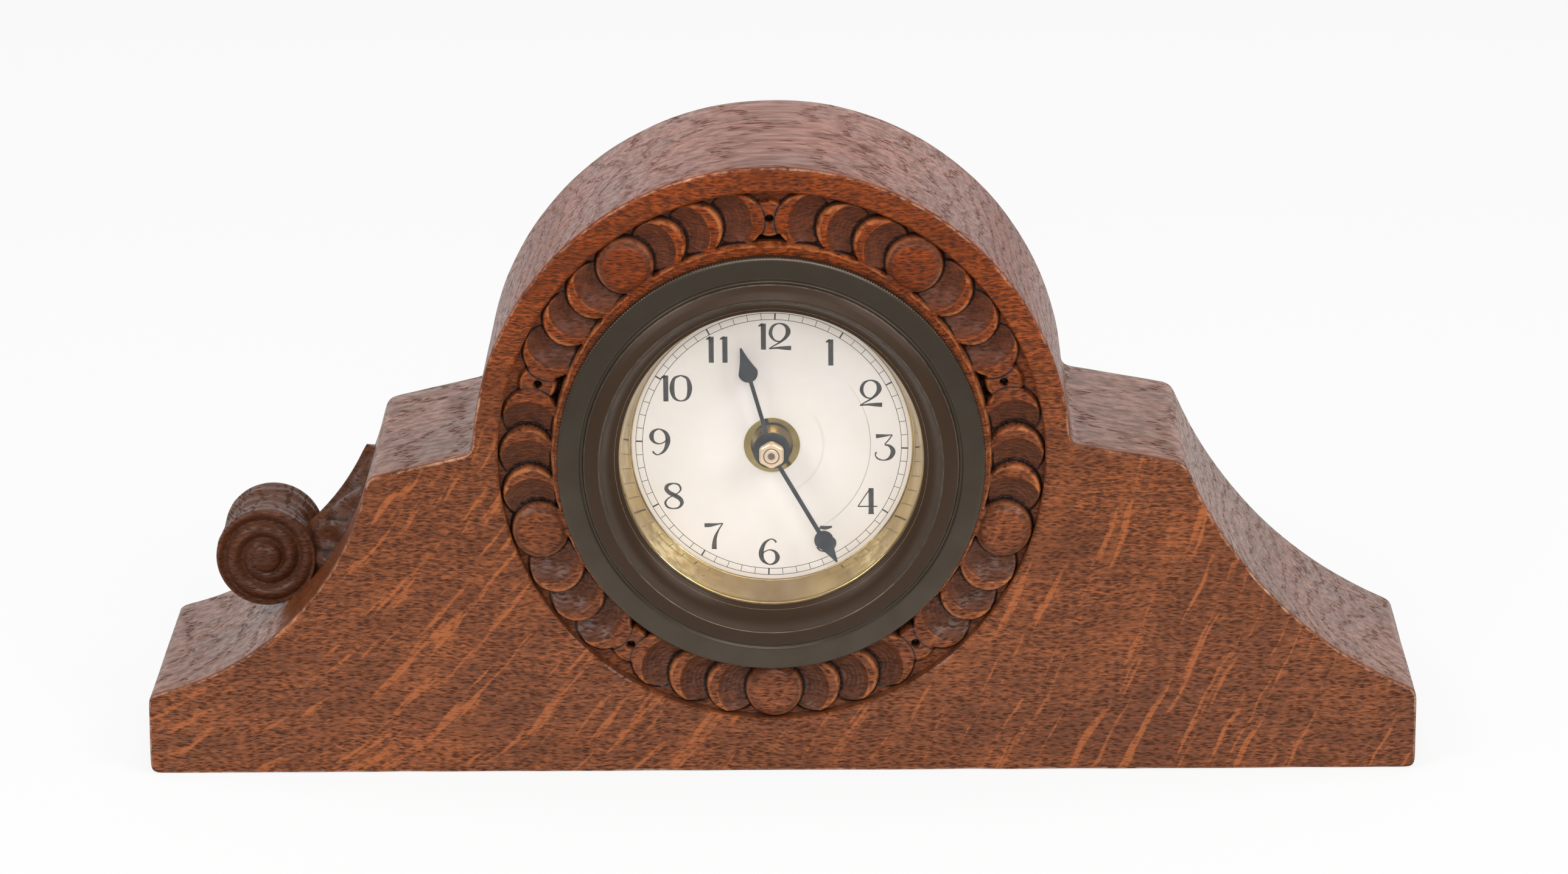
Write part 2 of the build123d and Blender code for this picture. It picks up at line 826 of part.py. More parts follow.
def front_plate():
    """Plate behind the dial, with a hole for the stud of the minute wheel."""
    low, high = front_plate_back, front_plate_front
    return plate(low, high) - at(minute_wheel_at, drill(minute_stud_radius, low, high))


def back_plate():
    """Plate at the back, with holes for the hairspring's stud and the click's screw."""
    low, high = back_plate_back, back_plate_front
    stud_hole = at(hairspring_stud_at, drill(stud_radius, low, high))
    return plate(low, high) - stud_hole - at(click_pivot_at, drill(screw_radius, low, high))


def pillars():
    """Pillars that hold the two plates apart, drilled at both ends."""
    front_hole = disc(screw_radius, front_plate_back - screw_reach, front_plate_back + overrun)
    back_hole = disc(screw_radius, back_plate_front - overrun, back_plate_front + screw_reach)
    return at_pillars(disc(pillar_radius, back_plate_front, front_plate_back) - front_hole - back_hole)


def cover_posts():
    """Hollow posts that hold the back cover off the back plate."""
    return at_pillars(tube(pillar_radius, screw_radius, cover_front, back_plate_back))


def pillar_screws():
    """Screws through the front plate into the pillars."""
    head = disc(screw_head_radius, front_plate_front, front_plate_front + screw_head_height)
    return at_pillars(head + disc(screw_radius, front_plate_back - screw_reach, front_plate_front))


def cover_screws():
    """Long screws through the back cover, the posts and the back plate into the pillars."""
    head = disc(screw_head_radius, cover_back - screw_head_height, cover_back)
    return at_pillars(head + disc(screw_radius, cover_back, back_plate_front + screw_reach))


def back_cover():
    """Brass cover on the drum's back, with holes for the key, the set knob and the regulator."""
    low, high = cover_back, cover_front
    arbor_hole = at(barrel_at, drill(barrel_arbor_radius + running_clearance, low, high))
    knob_hole = drill(centre_arbor_radius + running_clearance, low, high)
    slot_half = regulator_pin_radius + slot_clearance
    swing = regulator_swing_angle + math.degrees(2 * slot_half / regulator_reach)
    far = 2 * regulator_reach
    turns = (regulator_angle - swing, regulator_angle, regulator_angle + swing)
    sector = slab([(0, 0)] + [polar(far, turn) for turn in turns], low - overrun, high + overrun)
    ring = tube(regulator_reach + slot_half, regulator_reach - slot_half, low - overrun, high + overrun)
    cover = disc(drum_radius, low, high) - arbor_hole - knob_hole - at(balance_at, ring & sector)
    return cover - at_pillars(drill(screw_radius, low, high))


# Barrel and winding work

def barrel():
    """Spring barrel with the great wheel at its front."""
    low = inside(barrel_room + barrel_cap_thickness)
    middle = inside(great_height)
    high = middle + great_thickness
    wheel = gear(great_teeth, great_module, great_phase, middle, high)
    cup = tube(barrel_radius, barrel_bore_radius, low, middle)
    return at(barrel_at, (wheel + cup) - drill(barrel_arbor_radius + running_clearance, low, high))


def barrel_cap():
    """Lid that closes the barrel's back."""
    low = inside(barrel_room)
    return at(
        barrel_at,
        tube(barrel_radius, barrel_arbor_radius + running_clearance, low, low + barrel_cap_thickness),
    )


def mainspring_levels():
    """Bottom and top of the room inside the barrel, less its end play."""
    low = inside(barrel_room + barrel_cap_thickness + barrel_end_play)
    return low, inside(great_height - barrel_end_play)


def mainspring():
    """Steel mainspring coiled in the barrel."""
    inner = barrel_core_radius + mainspring_clearance
    outer = barrel_bore_radius - mainspring_clearance
    pitch = (outer - inner - mainspring_thickness) / mainspring_turns
    return at(barrel_at, spiral(inner, mainspring_thickness, pitch, mainspring_turns, *mainspring_levels()))


def barrel_arbor():
    """Winding arbor with the core that the mainspring hooks on."""
    shaft = disc(barrel_arbor_radius, key_hub_back, front_plate_front)
    return at(barrel_at, shaft + disc(barrel_core_radius, *mainspring_levels()))


def ratchet_wheel():
    """Ratchet wheel on the winding arbor, outside the back plate."""
    low, high = ratchet_back, ratchet_front
    wheel = saw_wheel(ratchet_teeth, ratchet_radius, ratchet_root_radius, click_angle, low, high)
    return at(barrel_at, wheel - drill(barrel_arbor_radius, low, high))


def winding_key():
    """Key on the winding arbor: a hub with two round wings."""
    hub = tube(key_hub_radius, barrel_arbor_radius, key_hub_back, key_hub_front)
    wing_level = key_hub_back - key_bridge_length / 2
    wing = Pos(0, 0, wing_level) * Rot(X=quarter_angle) * Cylinder(key_wing_radius, key_wing_thickness)
    bridge = Pos(0, 0, wing_level) * Box(2 * key_wing_spread, key_wing_thickness, key_bridge_length)
    return at(barrel_at, hub.fuse(bridge, *[at((side * key_wing_spread, 0), wing) for side in (-1, 1)]))


def click():
    """Click that holds the ratchet wheel, its nose in a tooth gap."""
    low, high = ratchet_back, ratchet_front
    nose = click_angle - click_play_angle
    over = ratchet_radius + click_clearance
    pitch = full_angle / ratchet_teeth
    eye = polar(click_pivot_radius, click_pivot_direction)
    outline = [
        polar(ratchet_root_radius + click_tip_lift, nose),
        polar(over, nose),
        polar(over + click_eye_radius, nose - pitch),
        polar(click_pivot_radius + click_eye_radius, click_pivot_direction),
        polar(click_pivot_radius - click_eye_radius, click_pivot_direction),
        polar(over, nose - 2 * pitch),
        polar(over, nose - pitch),
    ]
    body = slab(outline, low, high) + at(eye, disc(click_eye_radius, low, high))
    return at(barrel_at, body - at(eye, drill(screw_radius + running_clearance, low, high)))


def click_screw():
    """Shouldered screw that the click turns on."""
    head = disc(screw_head_radius, ratchet_back - screw_head_height, ratchet_back)
    return at(click_pivot_at, head + disc(screw_radius, ratchet_back, back_plate_front))


def click_spring():
    """Flat spring that lies along the click's back and keeps its nose down."""
    low, high = ratchet_back, back_plate_back
    out = click_pivot_direction
    rest = polar(click_eye_radius + running_clearance, out, click_pivot_at)
    end = polar(click_spring_length, out - quarter_angle, rest)
    outer_end, outer_rest = polar(click_spring_thickness, out, end), polar(click_spring_thickness, out, rest)
    strip = slab([rest, end, outer_end, outer_rest], low, high)
    return strip + at(polar(click_spring_foot_radius, out, end), disc(click_spring_foot_radius, low, high))


# Going train

def train_wheel(where, teeth, module, height, bore):
    """A crossed brass wheel riveted on its arbor."""
    low, high = inside(height), inside(height) + wheel_thickness
    wheel = gear(teeth, module, 0, low, high) - crossings(root_radius(teeth, module), low, high)
    return at(where, wheel - drill(bore, low, high))


def pinion_arbor(where, teeth, module, phase, height):
    """A steel arbor through both plates with its pinion opposite the wheel that drives it."""
    low, high = inside(height) - pinion_overlap, inside(height) + wheel_thickness + pinion_overlap
    leaves = gear(teeth, module, phase, low, high, pinion=True)
    return at(where, disc(arbor_radius, back_plate_back, front_plate_front) + leaves)


def centre_wheel():
    """Centre wheel, driven round once an hour."""
    return train_wheel(centre_at, centre_teeth, centre_module, centre_wheel_height, centre_tube_radius)


def centre_pinion():
    """Pinion and tube that the centre wheel is riveted to, free on the centre arbor."""
    low = inside(great_height) - pinion_overlap
    high = inside(great_height) + great_thickness + pinion_overlap
    leaves = gear(centre_pinion_teeth, great_module, centre_pinion_phase, low, high, pinion=True)
    back, front = back_plate_front + running_clearance, front_plate_back - running_clearance
    body = leaves + disc(centre_tube_radius, back, front)
    return body - drill(centre_arbor_radius + running_clearance, back, front)


def third_wheel():
    """Third wheel."""
    return train_wheel(third_at, third_teeth, third_module, third_wheel_height, arbor_radius)


def third_arbor():
    """Third arbor and its pinion."""
    return pinion_arbor(third_at, third_pinion_teeth, centre_module, third_phase, centre_wheel_height)


def fourth_wheel():
    """Fourth wheel, which turns once a minute."""
    return train_wheel(fourth_at, fourth_teeth, fourth_module, fourth_wheel_height, arbor_radius)


def fourth_arbor():
    """Fourth arbor and its pinion."""
    return pinion_arbor(fourth_at, fourth_pinion_teeth, third_module, fourth_phase, third_wheel_height)


def escape_arbor():
    """Escape arbor and its pinion."""
    return pinion_arbor(escape_at, escape_pinion_teeth, fourth_module, escape_phase, fourth_wheel_height)


def escape_wheel():
    """Escape wheel with pointed teeth."""
    low, high = inside(escape_wheel_height), inside(escape_wheel_height) + wheel_thickness
    wheel = saw_wheel(escape_teeth, escape_radius, escape_radius - escape_tooth_height, 0, low, high)
    return at(escape_at, wheel - drill(arbor_radius, low, high))


# Escapement and regulator

def pallet_lever():
    """Lever with a fork for the balance and two upright pins for the escape wheel."""
    low, high = inside(lever_height), inside(lever_height) + lever_thickness
    pin_top = inside(escape_wheel_height) + wheel_thickness
    reach = balance_distance - impulse_circle_radius - impulse_pin_radius - fork_clearance
    slot = Pos(reach - lever_slot_length, 0, 0) * bar(2 * lever_slot_length, lever_slot_half, low, high)
    arms = [bar(reach, lever_fork_half, low, high) - slot, disc(lever_fork_half, low, high)]
    for side in (-1, 1):
        pallet = polar(escape_radius + pallet_gap, side * pallet_angle, (-lever_distance, 0))
        arm = bar(math.hypot(*pallet), lever_arm_half, low, high)
        arms.append(Rot(Z=math.degrees(math.atan2(pallet[1], pallet[0]))) * arm)
        arms.append(at(pallet, disc(lever_arm_half, low, high)))
        arms.append(at(pallet, disc(pallet_pin_radius, low, pin_top)))
    staff = disc(lever_arbor_radius, back_plate_back, front_plate_front)
    return at(lever_at, Rot(Z=escape_angle) * staff.fuse(*arms))


def balance_wheel():
    """Plain brass balance with two arms."""
    low, high = inside(balance_height), inside(balance_height) + balance_thickness
    rim = tube(balance_radius, balance_radius - balance_rim, low, high)
    spoke = bar(balance_radius - balance_rim / 2, balance_spoke_half, low, high)
    spokes = [Rot(Z=escape_angle + turn) * spoke for turn in (0, half_angle)]
    body = rim.fuse(disc(balance_hub_radius, low, high), *spokes)
    return at(balance_at, body - drill(arbor_radius, low, high))


def balance_staff():
    """Balance staff with the roller and impulse pin that move the lever."""
    high = inside(balance_height) - roller_gap
    low = high - lever_thickness
    pin = disc(impulse_pin_radius, inside(lever_height), low)
    staff = disc(arbor_radius, back_plate_back, front_plate_front)
    pin_place = polar(impulse_circle_radius, escape_angle + half_angle)
    return at(balance_at, staff.fuse(disc(roller_radius, low, high), at(pin_place, pin)))


def hairspring():
    """Spiral balance spring, its outer end against the stud."""
    low, high = inside(hairspring_height), inside(hairspring_height) + hairspring_width
    strip = (hairspring_inner_radius, hairspring_thickness, hairspring_pitch, hairspring_turns)
    return at(balance_at, spiral(*strip, low, high))


def hairspring_stud():
    """Stud on the back plate that holds the hairspring's outer end."""
    top = inside(hairspring_height) + hairspring_width
    return at(hairspring_stud_at, disc(stud_radius, back_plate_back, top))


def regulator():
    """Index lever round the balance's pivot, with a pin that shows through the back cover."""
    low, high = back_plate_back - regulator_thickness, back_plate_back
    pin = at((regulator_reach, 0), disc(regulator_pin_radius, cover_back - regulator_pin_proud, high))
    arm = bar(regulator_reach, regulator_arm_half, low, high)
    body = disc(regulator_ring_radius, low, high).fuse(arm, pin)
    body = body - drill(arbor_radius + running_clearance, low, high)
    return at(balance_at, Rot(Z=regulator_angle) * body)


# Hands and motion work

minute_wheel_low = front_plate_front + motion_wheel_gap
minute_wheel_high = minute_wheel_low + motion_wheel_thickness
hour_wheel_low = minute_wheel_high + pinion_overlap + motion_wheel_gap
hour_wheel_high = hour_wheel_low + motion_wheel_thickness


def centre_arbor():
    """Arbor from the hand nut through the movement to the set knob."""
    return disc(centre_arbor_radius, knob_back, nut_front)


def cannon_pinion():
    """Cannon pinion on the centre arbor, which carries the minute hand."""
    low = front_plate_front + running_clearance
    leaves_top = minute_wheel_high + pinion_overlap / 2
    leaves = gear(cannon_teeth, motion_module, cannon_phase, low, leaves_top, pinion=True)
    body = leaves + disc(cannon_radius, low, minute_hand_front)
    return body - drill(centre_arbor_radius, low, minute_hand_front)


def minute_wheel():
    """Minute wheel and its pinion, free on a stud in the front plate."""
    low, high = minute_wheel_low, hour_wheel_high + pinion_overlap
    wheel = gear(minute_wheel_teeth, motion_module, 0, low, minute_wheel_high)
    leaves = gear(minute_pinion_teeth, hour_module, 0, minute_wheel_high, high, pinion=True)
    return at(minute_wheel_at, (wheel + leaves) - drill(minute_stud_radius + running_clearance, low, high))


def minute_stud():
    """Stud that the minute wheel turns on."""
    return at(minute_wheel_at, disc(minute_stud_radius, front_plate_back, hour_wheel_high + pinion_overlap))


def hour_wheel():
    """Hour wheel and the pipe that carries the hour hand."""
    wheel = gear(hour_teeth, hour_module, hour_phase, hour_wheel_low, hour_wheel_high)
    body = wheel + disc(hour_pipe_radius, hour_wheel_low, hour_hand_front)
    return body - drill(hour_bore_radius, hour_wheel_low, hour_hand_front)


def spade_blade(length, arm_half, boss_radius, thickness):
    """A spade hand that points up from z = 0, with a round boss."""
    start = length - spade_length
    right = [
        (arm_half, start),
        (spade_lobe_width_share * spade_half_width, start + spade_lobe_share * spade_length),
        (spade_half_width, start + spade_widest_share * spade_length),
        (spade_waist_width_share * spade_half_width, start + spade_waist_share * spade_length),
        (spade_tip_half, length),
    ]
    left = [(-x, y) for x, y in reversed(right)]
    outline = [
        Line((arm_half, 0), right[0]),
        ThreePointArc(*right[:3]),
        ThreePointArc(*right[2:]),
        Line(right[-1], left[0]),
        ThreePointArc(*left[:3]),
        ThreePointArc(*left[2:]),
        Line(left[-1], (-arm_half, 0)),
        Line((-arm_half, 0), (arm_half, 0)),
    ]
    return extrude(make_face(outline), thickness) + disc(boss_radius, 0, thickness)


def hour_hand():
    """Hour hand on the hour wheel's pipe."""
    hours = shown_hours + shown_minutes / minutes_per_turn
    blade = spade_blade(hour_hand_length, hour_arm_half, hour_boss_radius, hour_hand_thickness)
    blade = blade - drill(hour_pipe_radius, 0, hour_hand_thickness)
    turn = dial_angle + full_angle * hours / hours_per_turn
    return Pos(0, 0, hour_hand_front - hour_hand_thickness) * Rot(Z=-turn) * blade


def minute_hand():
    """Minute hand on the cannon pinion's front end."""
    blade = spade_blade(minute_hand_length, minute_arm_half, minute_boss_radius, minute_hand_thickness)
    blade = blade - drill(cannon_radius, 0, minute_hand_thickness)
    turn = dial_angle + full_angle * shown_minutes / minutes_per_turn
    return Pos(0, 0, minute_hand_front - minute_hand_thickness) * Rot(Z=-turn) * blade


def hand_nut():
    """Brass nut that clamps the minute hand."""
    corner = hand_nut_half_flats / math.cos(math.pi / hand_nut_sides)
    corners = [polar(corner, k * full_angle / hand_nut_sides) for k in range(hand_nut_sides)]
    prism = slab(corners, minute_hand_front, nut_front)
    prism = fillet(prism.edges().filter_by(Axis.Z), hand_nut_round)
    return prism - drill(centre_arbor_radius, minute_hand_front, nut_front)


def set_knob():
    """Knob on the centre arbor's back end, for setting the hands."""
    rim = disc(set_knob_radius, knob_back, (knob_back + knob_front) / 2)
    neck = disc(set_knob_radius - set_knob_rim, knob_back, knob_front)
    return (rim + neck) - drill(centre_arbor_radius, knob_back, knob_front)


pieces = (
    case_body,
    shoulder_carving,
    drum_can,
    fixing_screws,
    bezel,
    glass,
    sight_ring,
    dial_sheet,
    dial_plate,
    dial_eyelet,
    dial_feet,
    front_plate,
    back_plate,
    pillars,
    cover_posts,
    pillar_screws,
    cover_screws,
    back_cover,
    barrel,
    barrel_cap,
    mainspring,
    barrel_arbor,
    ratchet_wheel,
    winding_key,
    click,
    click_screw,
    click_spring,
    centre_wheel,
    centre_pinion,
    third_wheel,
    third_arbor,
    fourth_wheel,
    fourth_arbor,
    escape_wheel,
    escape_arbor,
    pallet_lever,
    balance_wheel,
    balance_staff,
    hairspring,
    hairspring_stud,
    regulator,
    centre_arbor,
    cannon_pinion,
    minute_wheel,
    minute_stud,
    hour_wheel,
    hour_hand,
    minute_hand,
    hand_nut,
    set_knob,
)

for piece in pieces:
    made = piece()
    drawn = made if isinstance(made, list) else [made]
    solids = [solid for shape in drawn for solid in place(shape).solids()]
    node = solids[0] if len(solids) == 1 else Compound(children=solids)
    export_step(node, f"parts/{piece.__name__}.step")
    print(f"{piece.__name__}: {len(solids)} solid(s), {sum(solid.volume for solid in solids):.1f} mm3")
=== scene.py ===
# %% [markdown]
# # An oak shelf clock
#
# One block of quarter-sawn oak makes the whole case: a drum in the middle, flat shoulders and hollow
# swept ends. Round the dial runs a ring of overlapping carved coins, and inside it sits a dark bronze
# bezel with a silvered dial. The moving pieces were made and packed before this lesson and are loaded as
# they are. What the lesson adds is what the eye looks for: grain, gouge cuts, the milled edge, the
# figures on the dial, and light to see them by.

import json
import math

import bpy
import numpy as np
from mathutils import Matrix, Vector


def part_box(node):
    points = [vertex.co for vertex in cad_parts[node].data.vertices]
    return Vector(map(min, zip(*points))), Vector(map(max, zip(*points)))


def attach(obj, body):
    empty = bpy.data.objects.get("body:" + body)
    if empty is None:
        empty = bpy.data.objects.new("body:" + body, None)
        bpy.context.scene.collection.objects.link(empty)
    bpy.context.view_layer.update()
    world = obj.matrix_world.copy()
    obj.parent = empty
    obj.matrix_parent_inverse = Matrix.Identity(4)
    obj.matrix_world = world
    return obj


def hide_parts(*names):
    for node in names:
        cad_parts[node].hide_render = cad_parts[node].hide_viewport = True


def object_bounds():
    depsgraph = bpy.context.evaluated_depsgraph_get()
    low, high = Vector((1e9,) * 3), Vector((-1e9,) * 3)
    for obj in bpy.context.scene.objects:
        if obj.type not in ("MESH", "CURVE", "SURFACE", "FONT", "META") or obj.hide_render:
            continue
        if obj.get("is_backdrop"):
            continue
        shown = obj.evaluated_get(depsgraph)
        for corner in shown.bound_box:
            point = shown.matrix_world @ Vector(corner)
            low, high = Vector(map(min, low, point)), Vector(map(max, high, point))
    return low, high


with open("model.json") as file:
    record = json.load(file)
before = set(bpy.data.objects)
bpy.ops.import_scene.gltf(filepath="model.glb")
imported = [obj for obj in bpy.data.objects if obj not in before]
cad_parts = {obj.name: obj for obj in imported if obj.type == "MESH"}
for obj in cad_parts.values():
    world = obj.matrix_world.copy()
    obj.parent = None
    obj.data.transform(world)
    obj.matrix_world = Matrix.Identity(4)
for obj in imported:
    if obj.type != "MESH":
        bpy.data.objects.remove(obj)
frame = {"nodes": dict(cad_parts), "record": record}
loaded_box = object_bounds()

# %% [markdown]
# ## Where the camera stands
#
# The photograph was taken from a little above and almost square on, with a long lens, so the sides hardly
# converge. A camera could be aimed by a tracking constraint, but three turns (yaw, dip and roll) say more
# exactly how a tripod head was set, so the camera's matrix is built from those.

# %% Camera
camera_place = Vector((0.0203792, -1.56383, 0.53518))
camera_yaw = 0.0126
camera_dip = 0.2827
camera_roll = -0.0085
camera_lens = 139.45
camera_sensor = 36.0


def camera_axes(yaw, dip, roll):
    """Right, up and forward of a camera that is turned by yaw, tipped down by dip, then rolled about
    its own line."""
    forward = Vector((-math.sin(yaw) * math.cos(dip), math.cos(yaw) * math.cos(dip), -math.sin(dip)))
    right = Vector((math.cos(yaw), math.sin(yaw), 0))
    up = right.cross(forward)
    return (
        right * math.cos(roll) + up * math.sin(roll),
        up * math.cos(roll) - right * math.sin(roll),
        forward,
    )


def make_camera():
    lens = bpy.data.cameras.new("portrait_camera")
    lens.lens = camera_lens
    lens.sensor_width = camera_sensor
    lens.sensor_fit = "HORIZONTAL"
    camera = bpy.data.objects.new("portrait_camera", lens)
    bpy.context.scene.collection.objects.link(camera)
    right, up, forward = camera_axes(camera_yaw, camera_dip, camera_roll)
    turn = Matrix((right, up, -forward)).transposed().to_4x4()
    camera.matrix_world = Matrix.Translation(camera_place) @ turn
    bpy.context.scene.camera = camera
    return camera


make_camera()
print("camera", camera_lens, "mm, dipped", round(math.degrees(camera_dip), 1), "degrees")

# %% [markdown]
# ## How the shapes are drawn
#
# Everything on this clock is set out from the dial's axis, as its maker would have done with a pair of
# compasses. So the shapes below are drawn in millimetres as seen from the front: x to the right, y up, z
# towards the viewer, with zero where the axis meets the face of the case. One small function stands such
# points in the clock's own frame. Each shape is a grid of points worked out as whole arrays. The columns
# close round on themselves, and the rows either close too, as on a ring, or end in flat caps, so that
# every piece is watertight.

# %% From the drawing to the frame
MM = 0.001
TURN = 2 * math.pi

case_low, case_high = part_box("case_body")
bezel_low, bezel_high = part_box("bezel")
dial_x = (bezel_low.x + bezel_high.x) / 2
dial_z = (bezel_low.z + bezel_high.z) / 2


def stand(x, y, z):
    """Points drawn from the front in millimetres, put into the frame in metres."""
    x, y, z = np.broadcast_arrays(x, y, z)
    return np.stack([dial_x + MM * x, case_low.y - MM * z, dial_z + MM * y], axis=-1)


def front_reach(node):
    """How far back and how far forward a node reaches in the drawing, in millimetres."""
    low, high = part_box(node)
    return (case_low.y - high.y) / MM, (case_low.y - low.y) / MM


def spokes(turn):
    """Points of a circle of radius 1 at those turns."""
    return np.stack([np.cos(turn), np.sin(turn)], axis=-1)


def turn_of(point):
    """The turn of a point about the axis, from the right."""
    return math.atan2(point[1], point[0])


def clock_turn(share):
    """The turn, from the right, of what lies that share of the way round the dial from its top."""
    return TURN * (0.25 - share)


# %% Closed grids
def shell(points, rows_close):
    """Faces of a grid whose columns close round. Rows close too, or the first and last row are capped."""
    rows, columns = points.shape[:2]
    row = np.arange(rows if rows_close else rows - 1)
    i, j = np.meshgrid(row, np.arange(columns), indexing="ij")
    next_i, next_j = (i + 1) % rows, (j + 1) % columns
    corners = (i * columns + j, i * columns + next_j, next_i * columns + next_j, next_i * columns + j)
    faces = [np.stack(corners, axis=-1).reshape(-1, 4)]
    if not rows_close:
        first = np.arange(columns)
        faces += [first[None, ::-1], (first + (rows - 1) * columns)[None]]
    return points.reshape(-1, 3), faces


def enclosed(points, faces):
    """Volume inside closed faces: the sum over their triangles of a . (b x c) / 6."""
    volume = 0.0
    for face in faces:
        first = points[face[:, 0]]
        for k in range(1, face.shape[1] - 1):
            volume += np.einsum("ij,ij->", first, np.cross(points[face[:, k]], points[face[:, k + 1]])) / 6
    return volume


def make_piece(name, shells, body, sharp=math.radians(38), marks=None):
    """One object from closed shells, faces outwards, riding on a body. Marks are named values at its
    points."""
    points, faces, count = [], [], 0
    for shell_points, shell_faces in shells:
        inside_out = enclosed(shell_points, shell_faces) < 0
        points.append(shell_points)
        faces += [(face[:, ::-1] if inside_out else face) + count for face in shell_faces]
        count += len(shell_points)
    points = np.concatenate(points)
    mesh = bpy.data.meshes.new(name)
    mesh.from_pydata(points, [], [corner for face in faces for corner in face.tolist()])
    mesh.shade_smooth()
    mesh.set_sharp_from_angle(angle=sharp)
    for mark, values in (marks or {}).items():
        attribute = mesh.attributes.new(mark, "FLOAT", "POINT")
        attribute.data.foreach_set("value", values.astype(np.float32).ravel())
    mesh.update()
    piece = bpy.data.objects.new(name, mesh)
    bpy.context.scene.collection.objects.link(piece)
    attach(piece, body)
    triangles = sum(len(face) * (face.shape[1] - 2) for face in faces)
    print(f"{name}: {triangles} triangles, {enclosed(points, faces) * 1e6:.3f} cubic centimetres")
    return piece


# %% Two curves
def smooth(value, low, high):
    """Rises from 0 at low to 1 at high along an S: 3t^2 - 2t^3."""
    t = np.clip((value - low) / (high - low), 0, 1)
    return t * t * (3 - 2 * t)


def ripple(turns, waves, seed):
    """An uneven line round a loop, from -1 to 1: sine waves of 1 to that many per turn, with fixed
    random heights."""
    random = np.random.default_rng(seed)
    counts = np.arange(1, waves + 1)
    heights = random.uniform(0.3, 1.0, waves) / np.sqrt(counts)
    starts = random.uniform(0, TURN, waves)
    line = (heights * np.sin(TURN * np.asarray(turns)[..., None] * counts + starts)).sum(-1)
    return line / np.abs(line).max()


print("dial axis at", round(dial_x / MM, 2), round(dial_z / MM, 2), "mm")

# %% [markdown]
# ## The outline of the case
#
# The block was sawn to an outline: a flat base, two short upright ends, a hollow sweep up to each
# shoulder, a gently sloping shoulder, and the drum. The two sides are not alike, because they were cut by
# eye. Straight runs and arcs could be joined with exact fillets, but a hand with a spokeshave eases every
# corner a little, so the sharp outline is sampled evenly and blurred along its length by a few
# millimetres, which rounds all its corners alike.

# %% Outline
case_depth = (case_high.y - case_low.y) / MM
case_base = (case_low.z - dial_z) / MM
case_left = (case_low.x - dial_x) / MM
case_right = (case_high.x - dial_x) / MM
drum_radius = (case_high.z - dial_z) / MM
end_height = 22.0
left_shoulder = np.array([-106.2, -4.7])
left_root_rise = 1.7
left_sweep_radius = 76.0
right_shoulder = np.array([108.4, -1.6])
right_root_rise = 3.7
right_sweep_radius = 112.0
outline_count = 1152
outline_easing = 1.75
stretch_points = 400
corner_reach = 3
facing_low_degrees = (222, 318, 326, 356)
facing_high_degrees = (184, 215, 222)


def run(start, stop, count):
    """Points evenly along a straight line, without its last one."""
    share = np.arange(count)[:, None] / count
    return np.asarray(start) + (np.asarray(stop) - np.asarray(start)) * share


def hollow_centre(start, stop, radius):
    """Centre of the arc of that radius from start to stop, on the right of the way from one to the
    other."""
    start, stop = np.asarray(start), np.asarray(stop)
    chord = stop - start
    length = np.hypot(*chord)
    right = np.array([chord[1], -chord[0]]) / length
    return (start + stop) / 2 + right * math.sqrt(radius**2 - length**2 / 4)


def sweep(start, stop, radius, count):
    """Points evenly along that arc, without its last one."""
    centre = hollow_centre(start, stop, radius)
    first, last = np.asarray(start) - centre, np.asarray(stop) - centre
    begin = turn_of(first)
    span = (turn_of(last) - begin + math.pi) % TURN - math.pi
    turn = begin + span * np.arange(count) / count
    return centre + radius * spokes(turn)


def soften(loop, reach):
    """A closed line of points, each replaced by the bell-weighted mean of its neighbours within that
    reach."""
    place = np.arange(len(loop))
    bell = np.exp(-0.5 * (np.minimum(place, len(loop) - place) / reach) ** 2)
    spectrum = np.fft.fft(loop, axis=0) * np.fft.fft(bell / bell.sum())[:, None]
    return np.fft.ifft(spectrum, axis=0).real


def case_outline():
    """The eased outline, counter-clockwise from the base's left corner, and the turn on the ring that
    each point faces.

    Each stretch of the outline is given a stretch of the ring, so that lines between the two never
    cross."""
    base_left, base_right = np.array([case_left, case_base]), np.array([case_right, case_base])
    end_left, end_right = base_left + [0, end_height], base_right + [0, end_height]
    right_root = np.array([math.sqrt(drum_radius**2 - right_root_rise**2), right_root_rise])
    left_root = np.array([-math.sqrt(drum_radius**2 - left_root_rise**2), left_root_rise])
    root_turns = (turn_of(right_root), turn_of(left_root))
    drum_turns = root_turns[0] + (root_turns[1] - root_turns[0]) * np.arange(stretch_points) / stretch_points
    drum = drum_radius * spokes(drum_turns)
    line = np.concatenate([
        run(base_left, base_right, stretch_points),
        run(base_right, end_right, stretch_points),
        sweep(end_right, right_shoulder, right_sweep_radius, stretch_points),
        run(right_shoulder, right_root, stretch_points),
        drum,
        run(left_root, left_shoulder, stretch_points),
        sweep(left_shoulder, end_left, left_sweep_radius, stretch_points),
        run(end_left, base_left, stretch_points),
        base_left[None],
    ])
    low_stops, high_stops = np.radians(facing_low_degrees), np.radians(facing_high_degrees) + TURN
    stops = [*low_stops, root_turns[0] + TURN, root_turns[1] + TURN, *high_stops]
    facing = np.interp(np.arange(len(line)) / stretch_points, np.arange(len(stops)), stops)
    length = np.concatenate([[0], np.cumsum(np.hypot(*np.diff(line, axis=0).T))])
    even = length[-1] * np.arange(outline_count) / outline_count
    points = np.stack([np.interp(even, length, line[:, k]) for k in (0, 1)], axis=-1)
    return soften(points, outline_easing * outline_count / length[-1]), np.interp(even, length, facing)


